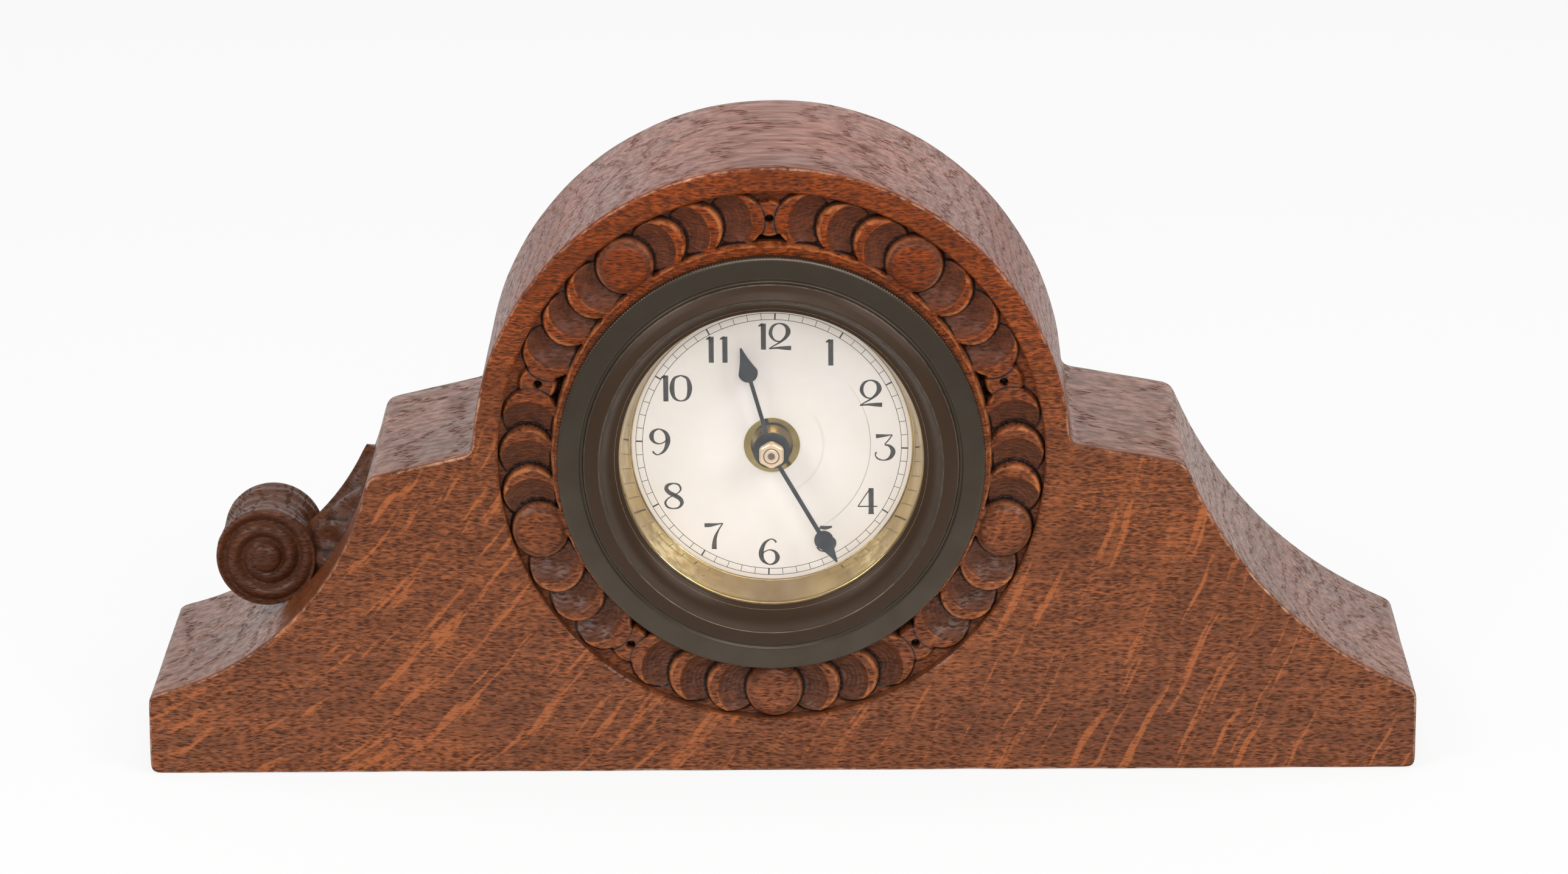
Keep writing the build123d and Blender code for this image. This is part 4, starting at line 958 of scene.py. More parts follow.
def make_nut(columns=120):
    """A six-sided nut with turned-down corners over the arbor's end: the radius is half the flats over
    the cosine of the turn from the nearest flat, held under the corner's radius. Its face has a ring
    groove and a small dimple, both painted dark as shade."""
    turn = TURN * np.arange(columns) / columns
    sixth = TURN / 6
    outer = np.minimum(nut_half_flats / np.cos((turn + sixth / 2) % sixth - sixth / 2), nut_corner)
    face_radius, face_rise, face_shade = np.array(nut_face).T
    radius = np.concatenate([np.outer(nut_side_shares, outer), face_radius[:, None] + 0 * turn])
    depth = nut_front + np.concatenate([-np.array(nut_side_drops), nut_dome * face_rise])
    shade_and_lacquer = np.repeat(np.concatenate([np.zeros(len(nut_side_shares)), face_shade]), columns)
    points = stand(radius * np.cos(turn), radius * np.sin(turn), depth[:, None])
    piece = make_piece("turned_hand_nut", [shell(points, False)], "minute_hand", sharp=math.radians(30),
                       marks={"wear_and_highlight": 0 * shade_and_lacquer, "shade_and_lacquer": shade_and_lacquer})
    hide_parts("hand_nut")
    return piece


def make_knob():
    profile = [(knob_bore, knob_front)]
    profile += [(knob_radius * share, knob_front - drop) for share, drop in knob_front_rows]
    profile += [(knob_radius * share, knob_back + rise) for share, rise in knob_back_rows]
    profile += [(knob_bore, knob_back + knob_sink)]
    widest = [row for row, (radius, _) in enumerate(profile) if radius == knob_radius]
    skin = turned(profile, knob_columns, milled=widest, teeth=knob_teeth, tooth_depth=knob_tooth)
    piece = make_piece("milled_set_knob", [skin], "minute_hand")
    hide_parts("set_knob")
    return piece


hand_nut = make_nut()
set_knob = make_knob()

# %% [markdown]
# ## Figures on the dial
#
# The dial is printed with upright figures, thick where a pen moves up and down and hair-thin where it
# moves across. A font would bring somebody's letters with it, so the figures are written here as pen
# strokes: each stroke is a few points with the pen's width at each, a smooth curve runs through them, and
# a flat ribbon of that width follows the curve. The minute track is two thin circles with sixty ticks
# between them, a heavier one every five minutes. The whole dial stands turned by a degree or two, as it
# does in the clock.

# %% Pen strokes
dial_face = front_reach("dial_sheet")[1]
print_back = dial_face - 0.05
print_front = dial_face + 0.02
dial_turn = math.radians(-1.8)
figure_height = 7.2
figure_circle = 29.6
figure_gap = 0.05
twin_gap = -0.08
pen_share = 1.12
hair_share = 0.012


def curve_through(points, steps=14):
    """A smooth line through points (Catmull-Rom): between two, each coordinate is a cubic whose slope
    at a point is half the way from the point before to the point after."""
    points = np.asarray(points, float)
    padded = np.concatenate([2 * points[:1] - points[1:2], points, 2 * points[-1:] - points[-2:-1]])
    a, b, c, d = (padded[k:len(padded) - 3 + k, None] for k in range(4))
    t = (np.arange(steps) / steps)[None, :, None]
    cubic = b + 0.5 * t * (c - a + t * (2 * a - 5 * b + 4 * c - d + t * (3 * (b - c) + d - a)))
    return np.concatenate([cubic.reshape(-1, points.shape[1]), points[-1:]])


def ribbon(x, y, width):
    """A flat closed ribbon along a line: four corners at each point, half the width to either side."""
    along_x, along_y = np.gradient(x), np.gradient(y)
    length = np.hypot(along_x, along_y) + 1e-9
    side_x, side_y = -along_y / length * width / 2, along_x / length * width / 2
    columns = [(1, print_back), (1, print_front), (-1, print_front), (-1, print_back)]
    corners = [stand(x + side * side_x, y + side * side_y, depth) for side, depth in columns]
    return shell(np.stack(corners, axis=1), False)


# Each point of a stroke is x, y and the pen's width, in hundredths of the figure's height.
figure_strokes = {
    "0": [[(40, 98.5, 3), (16, 86, 9), (7.5, 50, 15), (16, 14, 9), (40, 1.5, 3),
           (64, 14, 9), (72.5, 50, 15), (64, 86, 9), (40, 98.5, 3)]],
    "1": [[(22, 0, 15.5), (22, 50, 15.5), (22, 98.5, 16)],
          [(4, 88, 2), (12, 92.5, 7), (20, 95, 10)]],
    "2": [[(60, 43, 2), (46, 31, 3), (25, 36, 5), (11, 60, 11), (19, 87, 8),
           (42, 98.5, 3), (66, 90, 9), (75.5, 68, 15), (66, 46, 10), (44, 27, 5),
           (20, 13, 3), (5, 3, 3)],
          [(5, 3.5, 3), (34, 6.5, 6), (60, 6, 11), (86, 5.5, 14)]],
    "3": [[(10, 93, 13), (30, 94.5, 10), (56, 96.5, 4), (70, 98.5, 3)],
          [(70, 97.5, 3), (56, 78, 3), (42, 62, 3)],
          [(42, 60, 3), (58, 57, 7), (70, 44, 13), (72, 30, 15), (62, 11, 10),
           (40, 1.5, 3), (18, 7, 4), (8, 20, 3), (11, 33, 5)]],
    "4": [[(53, 0, 15.5), (53, 50, 15.5), (53, 98.5, 15.5)],
          [(50, 97, 3), (28, 65, 2.5), (5, 29, 2.5)], [(4, 28.5, 3), (76, 28.5, 3)],
          [(42, 1.2, 2.5), (64, 1.2, 2.5)]],
    "5": [[(20, 95, 10), (40, 93, 12), (64, 97, 5)], [(19, 95, 3), (15, 53, 3)],
          [(15, 53, 3), (34, 63, 4), (56, 58, 9), (70, 40, 15), (66, 18, 12),
           (44, 2, 3), (20, 6, 4), (9, 20, 8)]],
    "6": [[(66, 86, 5), (58, 95.5, 4), (44, 98.5, 3), (22, 82, 9), (10, 48, 15),
           (16, 18, 11), (40, 1.5, 3), (62, 10, 9), (70, 29, 14), (62, 49, 8),
           (42, 57.5, 3), (22, 50, 3), (13, 38, 3)]],
    "7": [[(5, 92, 13), (26, 92.5, 12), (52, 96, 5), (73, 98.5, 3)],
          [(72, 98, 3), (58, 76, 4), (46, 50, 9), (41, 25, 13), (40, 0, 16)]],
    "8": [[(40, 98.5, 3), (20, 92, 9), (13, 78, 12), (24, 63, 13), (42, 53, 13),
           (62, 40, 13), (70, 24, 11), (60, 7, 6), (40, 1.5, 3), (18, 7, 5),
           (9, 24, 6), (20, 41, 3), (42, 53, 2.5), (60, 65, 3), (66, 78, 5),
           (58, 93, 5), (40, 98.5, 3)]],
}
stroke_unit = 0.01
figure_width = 0.80
odd_widths = {"1": 0.42, "2": 0.88, "7": 0.78}


def figure(digit, left, base):
    """Ribbons of one figure with its lower left corner there. A nine is a six turned upside down."""
    turned_over = digit == "9"
    ribbons = []
    for stroke in figure_strokes["6" if turned_over else digit]:
        x, y, width = curve_through(stroke).T * stroke_unit
        if turned_over:
            x, y = figure_width - x, 1 - y
        pen = (width * pen_share + hair_share) * figure_height
        ribbons.append(ribbon(left + x * figure_height, base + y * figure_height, pen))
    return ribbons


def make_figures():
    ribbons = []
    for hour in range(1, 13):
        turn = clock_turn(hour / 12) + dial_turn
        digits = str(hour)
        widths = [odd_widths.get(digit, figure_width) for digit in digits]
        gap = twin_gap if digits == "11" else figure_gap
        total = (sum(widths) - gap * (len(digits) - 1)) * figure_height
        left = figure_circle * math.cos(turn) - total / 2
        base = figure_circle * math.sin(turn) - figure_height / 2
        for digit, width in zip(digits, widths):
            ribbons += figure(digit, left, base)
            left += (width - gap) * figure_height
    return make_piece("dial_figures", ribbons, "case")


dial_figures = make_figures()

# %% Minute track
track_outer = 35.9
track_inner = 34.15
track_line = 0.15
tick_line = 0.15
five_line = 0.40


def circle_line(radius, width):
    """A flat printed circle: four rows round the axis, closed on themselves."""
    profile = [(radius + width / 2, print_back), (radius + width / 2, print_front),
               (radius - width / 2, print_front), (radius - width / 2, print_back)]
    return turned(profile, 360)


def make_track():
    shells = [circle_line(radius, track_line) for radius in (track_outer, track_inner)]
    reach = np.linspace(track_inner, track_outer, 3)
    for minute in range(60):
        turn = clock_turn(minute / 60) + dial_turn
        width = five_line if minute % 5 == 0 else tick_line
        shells.append(ribbon(reach * math.cos(turn), reach * math.sin(turn), np.full(3, width)))
    return make_piece("minute_track", shells, "case")


minute_track = make_track()

# %% [markdown]
# ## Finishes: the tools
#
# A finish is a small circuit of nodes. Joining nodes one by one would bury the idea under wiring, so what
# runs from node to node is kept as a wire here, and a sum written with wires builds the nodes that it
# needs. Effects that several finishes share, such as the grain of oak or the tarnish of old metal, are
# made once as node groups with their own inputs and outputs.

# %% Wires
COLOUR, VALUE = "NodeSocketColor", "NodeSocketFloat"


class Wire:
    """What runs from one node to the next. A sum written with wires is built as nodes."""

    def __init__(self, socket):
        self.socket = socket
        self.tree = socket.id_data

    def calc(self, operation, *others):
        """The result of one sum, with this as its first value."""
        values = dict(enumerate((self, *others)))
        return add(self.tree, "ShaderNodeMath", values, operation=operation)[0]

    def __add__(self, other):
        return self.calc("ADD", other)

    def __sub__(self, other):
        return self.calc("SUBTRACT", other)

    def __mul__(self, other):
        return self.calc("MULTIPLY", other)

    def __rsub__(self, other):
        return add(self.tree, "ShaderNodeMath", {0: other, 1: self}, operation="SUBTRACT")[0]

    def ramp(self, low, high, start=0.0, stop=1.0):
        """This value carried from low..high to start..stop, and held there beyond."""
        inputs = {"Value": self, "From Min": low, "From Max": high, "To Min": start, "To Max": stop}
        return add(self.tree, "ShaderNodeMapRange", inputs)["Result"]


def join(made, inputs):
    """Gives a node its inputs: plain values, colours of three values, or wires from other nodes."""
    for key, value in inputs.items():
        socket = made.inputs[key]
        if isinstance(value, Wire):
            made.id_data.links.new(value.socket, socket)
        else:
            socket.default_value = (*value, 1) if socket.type == "RGBA" else value


def wires(made):
    """What comes out of a node, by name and by number."""
    return {key: Wire(socket) for k, socket in enumerate(made.outputs) for key in (k, socket.name)}


def add(tree, kind, inputs=None, **settings):
    """A new node with its settings and inputs. Gives the wires that come out of it."""
    made = tree.nodes.new(kind)
    for name, value in settings.items():
        setattr(made, name, value)
    join(made, inputs or {})
    return wires(made)


# %% Nodes by name
def tint(share, first, second, way="MIX"):
    """One colour laid over another by a share."""
    inputs = {0: share, 6: first, 7: second}
    return add(share.tree, "ShaderNodeMix", inputs, data_type="RGBA", blend_type=way)[2]


def place_in(tree):
    """Where a point lies, in metres."""
    return add(tree, "ShaderNodeTexCoord")["Object"]


def mark(tree, name):
    """A value that pieces carry at their points."""
    return add(tree, "ShaderNodeAttribute", attribute_name=name)["Fac"]


def axes(vector):
    """The three parts of a vector."""
    parts = add(vector.tree, "ShaderNodeSeparateXYZ", {0: vector})
    return parts[0], parts[1], parts[2]


def combined(x, y, z=0.0):
    """A vector of three parts."""
    return add(x.tree, "ShaderNodeCombineXYZ", {0: x, 1: y, 2: z})[0]


def polar(x, z):
    """How far a point is from an axis, and its turn about it."""
    return (x * x + z * z).calc("SQRT"), z.calc("ARCTAN2", x)


def stretched(vector, lengths):
    """Coordinates in units of a length, or of one length for each axis, in millimetres."""
    scale = tuple(1 / (MM * np.broadcast_to(lengths, 3)))
    return add(vector.tree, "ShaderNodeVectorMath", {0: vector, 1: scale}, operation="MULTIPLY")[0]


def noise(vector, lengths, detail=2.0, roughness=0.5):
    """Smooth random values about 0.5, one swing for each of those lengths."""
    inputs = {"Vector": stretched(vector, lengths), "Scale": 1.0, "Detail": detail, "Roughness": roughness}
    return add(vector.tree, "ShaderNodeTexNoise", inputs)[0]


# %% Groups and finishes
def new_group(name, inputs, outputs):
    """A node group whose inputs have colours or values and whose outputs have kinds, and the wires of
    its inputs."""
    group = bpy.data.node_groups.new(name, "ShaderNodeTree")
    for label, value in inputs.items():
        kind = COLOUR if isinstance(value, tuple) else VALUE
        given = group.interface.new_socket(name=label, in_out="INPUT", socket_type=kind)
        given.default_value = (*value, 1) if kind == COLOUR else value
    for label, kind in outputs.items():
        group.interface.new_socket(name=label, in_out="OUTPUT", socket_type=kind)
    return group, wires(group.nodes.new("NodeGroupInput"))


def use_group(tree, group, inputs):
    """Places a group in a material and gives its wires."""
    return add(tree, "ShaderNodeGroup", inputs, node_tree=group)


def new_finish(name):
    """A material and its nodes."""
    material = bpy.data.materials.new(name)
    material.use_nodes = True
    return material, material.node_tree


def paint(tree, inputs, height=None, relief=0.0):
    """Gives the shader its inputs, and bumps from a height that is relief millimetres deep."""
    if height:
        bumps = {"Height": height, "Strength": 1.0, "Distance": relief * MM}
        inputs = {**inputs, "Normal": add(tree, "ShaderNodeBump", bumps)[0]}
    join(tree.nodes["Principled BSDF"], inputs)


# %% [markdown]
# ## Oak
#
# Quarter-sawn oak shows three things. Short dark pores lie along the grain, crowded into the early wood
# of each year. Pale rays cross the grain in long slanting flecks, because the saw ran along the rays. And
# the stain sinks deeper into soft wood than into hard. All of it runs through the block, so it is worked
# out in space and not on the surface: pores are cells stretched along the grain, years are bent layers,
# and the flecks are noise drawn out along circles about a far point, which makes them steeper towards the
# right, as they are on the clock. The front, cut along the grain, shows fine dark waves with dashes among
# them. On the swept ends and the top of the drum the pores stand in rows along the years.

# %% Oak grain
fleck_centre = (-0.238, 0.181)
fleck_lengths = (1.9, 9.0, 26.0)
fleck_limits = (0.605, 0.70)
haze_lengths = (7.0, 12.0, 34.0)
fleck_top = 14.0
pore_lengths = (2.7, 0.66)
side_pore_lengths = (6.0, 1.5, 0.7)
pore_size = (0.46, 0.12)
side_pore_size = (0.56, 0.2)
wave_lengths = (2.3, 0.62)
fibre_lengths = (5.0, 0.5, 0.36)
stir_lengths = (3.0, 2.0, 1.6)
streak_lengths = (16.0, 2.4, 0.9)
tone_lengths = (70.0, 45.0, 26.0)
patch_lengths = (17.0, 9.0, 7.0)
grit_lengths = (0.9, 0.5, 0.35)
bend_lengths = (40.0, 26.0, 26.0)
year_spacing = 4.0
year_bow = 2.5
year_wander = 16.0
grain_wander = 6.0
grain_stir = 1.2
fleck_wander = 7.0
fleck_turn = 0.3
early_limits = (-0.1, 0.8)
row_limits = (0.35, 0.85)
drum_rise = 50.0
drum_top_painted_shade = (1.12, 0.74, 0.36)
wax_heights = (-70.0, 30.0)
front_wax_levels = (0.75, 0.15)
side_wax_levels = (1.0, 0.28)


def make_oak_grain():
    group, given = new_group(
        "oak_grain",
        {"Ground": (0.24, 0.07, 0.024), "Shade": (0.11, 0.032, 0.013), "Fleck": (0.43, 0.13, 0.038),
         "Pore": (0.052, 0.017, 0.009), "Fleck Share": 0.85},
        {"Colour": COLOUR, "Wax": VALUE, "Roughness": VALUE, "Height": VALUE},
    )
    place = place_in(group)
    x, y, z = axes(place)
    face = mark(group, "face")
    bend = noise(place, bend_lengths)
    fibre = noise(place, fibre_lengths, 3.0, 0.6)
    stir = noise(place, stir_lengths, 1.0)
    tone = noise(place, tone_lengths)
    streak = noise(place, streak_lengths, 3.0, 0.6)
    patch = noise(place, patch_lengths, 2.0, 0.6)
    fine = noise(place, grit_lengths, 2.0, 0.6)

    layer = z + y * y * year_bow + bend * (year_wander * MM)
    year = (layer * (TURN / (year_spacing * MM))).calc("SINE")
    early = year.ramp(*early_limits)
    row = year.ramp(*row_limits)
    lifted = z + bend * (grain_wander * MM) + stir * (grain_stir * MM)

    def dashes(vector, dimensions, size, crowd, limits):
        """Ragged dashes in cells. Cells outside the early wood are more often left empty."""
        inputs = {"Vector": vector, "Scale": 1.0}
        cells = add(group, "ShaderNodeTexVoronoi", inputs, voronoi_dimensions=dimensions)
        spread = add(group, "ShaderNodeSeparateColor", {0: cells["Color"]})[0]
        ragged = cells["Distance"] - (fibre - 0.5) * 0.4
        return ragged.ramp(*size) * (crowd + spread).ramp(*limits)

    front = combined(x, lifted)
    within = stretched(combined(x, y, lifted), side_pore_lengths)
    faced = dashes(stretched(front, (*pore_lengths, 1.0)), "2D", pore_size, early * 0.5, (0.15, 0.8))
    sided = dashes(within, "3D", side_pore_size, row, (0.8, 1.3)) * 0.8
    pores = sided + face * (faced - sided)
    waves = noise(front, (*wave_lengths, 1.0), 2.0, 0.6).ramp(0.42, 0.60, 0.0, 0.9) * face

    far, turn = polar(x - fleck_centre[0], z - fleck_centre[1])
    way = combined(far + bend * (fleck_wander * MM), y, turn * fleck_turn)
    grit = (fine - 0.5) * 0.22 + (stir - 0.5) * 0.15
    ray = (noise(way, fleck_lengths, 1.5) + grit).ramp(*fleck_limits)
    haze = noise(way, haze_lengths, 1.0).ramp(0.52, 0.70, 0.0, 0.25)
    below = z.ramp(dial_z + fleck_top * MM, dial_z)
    fleck = ray.calc("MAXIMUM", haze) * face * (below * given["Fleck Share"])

    ground = given["Ground"]
    for share in (
        fibre.ramp(0.36, 0.66, 0.0, 0.7), waves, tone.ramp(0.35, 0.7, 0.0, 0.45),
        patch.ramp(0.42, 0.66, 0.0, 0.5), early * 0.2, streak.ramp(0.4, 0.65) * (1 - face) * 0.8,
    ):
        ground = tint(share, ground, given["Shade"])
    # Painted shade: up the drum the wood is made warmer and darker, since the floor's pale reflection
    # lightens only the lower front.
    ground = tint(z.ramp(dial_z, dial_z + drum_rise * MM), ground, drum_top_painted_shade, "MULTIPLY")
    ground = tint(fleck, ground, given["Fleck"])
    pores = pores * (1 - fleck * 0.6)
    colour = tint(pores * 0.9, ground, given["Pore"])

    front_wax = z.ramp(*(dial_z + height * MM for height in wax_heights), *front_wax_levels)
    side_wax = (streak + early * 0.06).ramp(0.38, 0.62, *side_wax_levels)
    wax = (side_wax + face * (front_wax - side_wax)) * pores.ramp(0.0, 0.6, 1.0, 0.0)
    rough = fibre.ramp(0.3, 0.7, 0.34, 0.44) + pores * 0.3
    height = fibre * 0.35 - (pores + waves)
    add(group, "NodeGroupOutput", {"Colour": colour, "Wax": wax, "Roughness": rough, "Height": height})
    return group


oak_grain = make_oak_grain()
print("oak grain:", len(oak_grain.nodes), "nodes")

# %% [markdown]
# ## Handling
#
# A hundred years of dusters leave the high edges pale and bright, and a painted highlight lies along
# them too. The hollows, grooves and recesses are darkened as painted shade: soft brown where they are
# shallow and near black where they are deep, and on the bronze the same mark lays on its brown lacquer.
# The pieces carry that as two marks at their points. It could be painted on with a brush, but marks that
# come from the shape stay true when the shape changes. The group below lays the three colours over
# whatever finish it is given, breaks the marks up with a little noise so that they do not look
# airbrushed, and says how rough the result is.

# %% Worn edges with painted highlights, painted shade in hollows
# Pale colour of rubbed edges, which also stands for a painted highlight along them.
worn_and_highlighted_oak = (0.72, 0.42, 0.27)
smudge_length = 3.0


def make_handling():
    group, given = new_group(
        "handling",
        {"Colour": (0.5, 0.5, 0.5), "Roughness": 0.4, "Wear And Highlight": worn_and_highlighted_oak, "Soft Shade And Lacquer": (0.105, 0.048, 0.032),
         "Deep Shade And Lacquer": (0.016, 0.008, 0.006), "Wear And Highlight Share": 0.7, "Shade And Lacquer Share": 0.9},
        {"Colour": COLOUR, "Roughness": VALUE},
    )
    patch = noise(place_in(group), smudge_length, 4.0, 0.65)
    # Rubbed edges, with a painted highlight laid on them as well.
    worn_and_highlighted = (mark(group, "wear_and_highlight") * patch.ramp(0.34, 0.62)).ramp(0.15, 0.85) * given["Wear And Highlight Share"]
    # Painted shade: marked hollows, grooves and recesses are darkened, soft brown where shallow and near
    # black where deep; on the bronze the same mark is its brown lacquer.
    deep = (mark(group, "shade_and_lacquer") + (patch - 0.5) * 0.5).ramp(0.1, 0.9)
    shade_colour = tint(deep.ramp(0.6, 0.95), given["Soft Shade And Lacquer"], given["Deep Shade And Lacquer"])
    colour = tint(worn_and_highlighted, given["Colour"], given["Wear And Highlight"])
    colour = tint(deep * given["Shade And Lacquer Share"], colour, shade_colour)
    add(group, "NodeGroupOutput", {"Colour": colour, "Roughness": given["Roughness"] - worn_and_highlighted * 0.08})
    return group


handling = make_handling()
print("handling:", len(handling.nodes), "nodes")

# %% Oak finishes
bare_gloss = 0.12


def make_oak(name, ground, shade, fleck, worn_and_highlighted, shares, relief, wax):
    """Waxed oak: the grain, then the handling, under a thin coat of wax that the open pores break. The
    shares are how far flecks, rubbed edges with their painted highlight, and painted shade show, and the
    wax has a weight and a roughness."""
    material, tree = new_finish(name)
    fleck_share, worn_and_highlighted_share, painted_shade_share = shares
    grain = use_group(tree, oak_grain, {
        "Ground": ground, "Shade": shade, "Fleck": fleck, "Fleck Share": fleck_share,
    })
    handled = use_group(tree, handling, {
        "Colour": grain["Colour"], "Roughness": grain["Roughness"], "Wear And Highlight": worn_and_highlighted,
        "Wear And Highlight Share": worn_and_highlighted_share, "Shade And Lacquer Share": painted_shade_share,
    })
    paint(tree, {
        "Base Color": handled["Colour"], "Roughness": handled["Roughness"],
        "Coat Weight": grain["Wax"] * wax[0], "Coat Roughness": wax[1], "Specular IOR Level": bare_gloss,
    }, grain["Height"], relief)
    return material


finishes = {
    "oak": make_oak("oak", (0.39, 0.113, 0.034), (0.098, 0.030, 0.0115), (0.40, 0.114, 0.031), worn_and_highlighted_oak,
                    (0.75, 0.85, 0.8), 0.07, (0.54, 0.2)),
    "carved_oak": make_oak("carved_oak", (0.15, 0.047, 0.018), (0.065, 0.022, 0.010), (0.22, 0.066, 0.02),
                           worn_and_highlighted_oak, (0.3, 0.0, 0.85), 0.06, (0.5, 0.26)),
}
# The ring's rubbed colour is orange and also gives a painted highlight on the crests; its last share darkens
# grooves, holes and dishes as painted shade.
ring_oak = make_oak("ring_oak", (0.39, 0.104, 0.027), (0.12, 0.034, 0.012), (0.40, 0.11, 0.03),
                    (0.60, 0.21, 0.07), (0.4, 0.5, 0.95), 0.07, (0.6, 0.24))
print("oak finishes:", [*finishes, ring_oak.name])

# %% [markdown]
# ## Metal
#
# Old brass is never one colour. Lacquer goes, air gets in, and brown spots and cloudy patches grow while
# fingers keep some places bright. One group makes the patches, the spots and the fine scratches from the
# lathe or the cloth, and each metal mixes its own bright and dull colour with them. Down in the bezel the
# brown lacquer is still whole, so there the metal shines less, and more softly.

# %% Tarnish
cloud_length = 9.0
speck_length = 1.6
scratch_lengths = (14.0, 0.12, 0.35)


def make_tarnish():
    group, given = new_group(
        "tarnish",
        {"Bright": (0.7, 0.5, 0.25), "Dull": (0.3, 0.2, 0.1), "Spot": (0.1, 0.06, 0.03),
         "Dull Share": 0.6, "Spot Share": 0.6, "Smooth": 0.25, "Rough": 0.45},
        {"Colour": COLOUR, "Roughness": VALUE, "Height": VALUE},
    )
    place = place_in(group)
    cloud = noise(place, cloud_length, 5.0, 0.6)
    speck = noise(place, speck_length, 3.0, 0.6)
    line = noise(place, scratch_lengths, 2.0, 0.6)
    patch = cloud.ramp(0.36, 0.66)
    spot = speck.ramp(0.66, 0.74) * cloud.ramp(0.4, 0.6)
    colour = tint(patch * given["Dull Share"], given["Bright"], given["Dull"])
    colour = tint(spot * given["Spot Share"], colour, given["Spot"])
    rough = (patch + (line - 0.5) * 0.5).ramp(0.0, 1.0)
    rough = given["Smooth"] + rough * (given["Rough"] - given["Smooth"])
    add(group, "NodeGroupOutput", {"Colour": colour, "Roughness": rough, "Height": line + speck * 0.4})
    return group


tarnish = make_tarnish()
print("tarnish:", len(tarnish.nodes), "nodes")

# %% Metals
shade_and_lacquer_metallic = 0.2
shade_and_lacquer_rough = 0.12


def make_metal(name, bright, dull, spot, shares, rough, metallic, marked=None, relief=0.006, edge_gloss=1.0):
    """A metal with its own bright, dull and spotted colours, and a roughness between two limits. Given
    a colour for rubbed edges and painted highlights and a colour for lacquer and painted shade, it also
    shows the pieces' marks, and is duller under lacquer and under painted shade."""
    material, tree = new_finish(name)
    aged = use_group(tree, tarnish, {
        "Bright": bright, "Dull": dull, "Spot": spot, "Dull Share": shares[0], "Spot Share": shares[1],
        "Smooth": rough[0], "Rough": rough[1],
    })
    inputs = {"Base Color": aged["Colour"], "Roughness": aged["Roughness"], "Metallic": metallic}
    if marked:
        handled = use_group(tree, handling, {
            "Colour": aged["Colour"], "Roughness": aged["Roughness"],
            "Wear And Highlight": marked[0], "Soft Shade And Lacquer": marked[1], "Deep Shade And Lacquer": marked[1],
        })
        shade_and_lacquer_mark = mark(tree, "shade_and_lacquer")
        inputs = {
            "Base Color": handled["Colour"], "Roughness": shade_and_lacquer_mark * shade_and_lacquer_rough + handled["Roughness"],
            "Metallic": shade_and_lacquer_mark.ramp(0.0, 1.0, metallic, metallic * shade_and_lacquer_metallic),
        }
    paint(tree, {**inputs, "Specular Tint": (edge_gloss, edge_gloss, edge_gloss)}, aged["Height"], relief)
    return material


# Bright, dull and spot colour, their shares, roughness, metallic, the colour of rubbed edges and painted
# highlights and the colour of lacquer and painted shade, relief, edge gloss.
metals = {
    # On the bronze the pale colour is its rubbed ridges with a painted highlight, and the brown one its
    # lacquer.
    "bronze": ((0.082, 0.067, 0.050), (0.068, 0.051, 0.037), (0.09, 0.06, 0.04), (0.7, 0.15), (0.17, 0.27),
               0.6, ((0.20, 0.14, 0.10), (0.043, 0.023, 0.013)), 0.003, 0.3),
    # On the nut the dark colour is painted shade in the groove and dimple of its face.
    "nut_brass": ((0.92, 0.68, 0.46), (0.86, 0.58, 0.35), (0.4, 0.22, 0.1), (0.6, 0.4), (0.30, 0.42), 0.6,
                  ((0.9, 0.7, 0.5), (0.02, 0.009, 0.006))),
    "aged_brass": ((0.62, 0.46, 0.17), (0.36, 0.25, 0.09), (0.06, 0.036, 0.018), (0.8, 0.7), (0.10, 0.17),
                   1.0, None, 0.002),
    # On the sight ring the pale colour is a painted highlight and the brown one painted shade.
    "sight_brass": ((0.55, 0.39, 0.13), (0.36, 0.24, 0.08), (0.06, 0.036, 0.018), (0.8, 0.8), (0.10, 0.17),
                    1.0, ((0.95, 0.82, 0.46), (0.22, 0.125, 0.05)), 0.002),
    "brass": ((0.74, 0.55, 0.28), (0.46, 0.32, 0.15), (0.16, 0.09, 0.04), (0.7, 0.5), (0.24, 0.42), 1.0),
    "steel": ((0.56, 0.56, 0.57), (0.36, 0.35, 0.34), (0.16, 0.12, 0.09), (0.5, 0.4), (0.22, 0.40), 1.0),
    "blued_steel": ((0.028, 0.034, 0.042), (0.018, 0.018, 0.02), (0.06, 0.04, 0.03), (0.6, 0.4), (0.28, 0.42),
                    0.4),
}
finishes |= {name: make_metal(name, *values) for name, values in metals.items()}
print("metals:", [*metals])

# %% [markdown]
# ## Dial, print and glass
#
# The dial is a thin sheet with a soft silver-white coat, a little yellow where air gets at it, with two
# faint arcs where the hour hand's tip and tail have rubbed. The arcs are worked out from the distance to
# the dial's axis. The print is a slightly worn black. The glass is so clear and clean that it hardly
# shows, so it is a clear coat of which only a small share is there at all: enough to catch a glint, and
# the dial keeps its own light.

# %% Dial
rub_radius = 26.0
rub_width = 0.16
faint_radius = 13.6
faint_width = 0.5
rub_fade = 0.2
dial_white = (0.93, 0.865, 0.81)
dial_yellow = (0.89, 0.81, 0.72)
dial_edge = (34.5, 37.5)


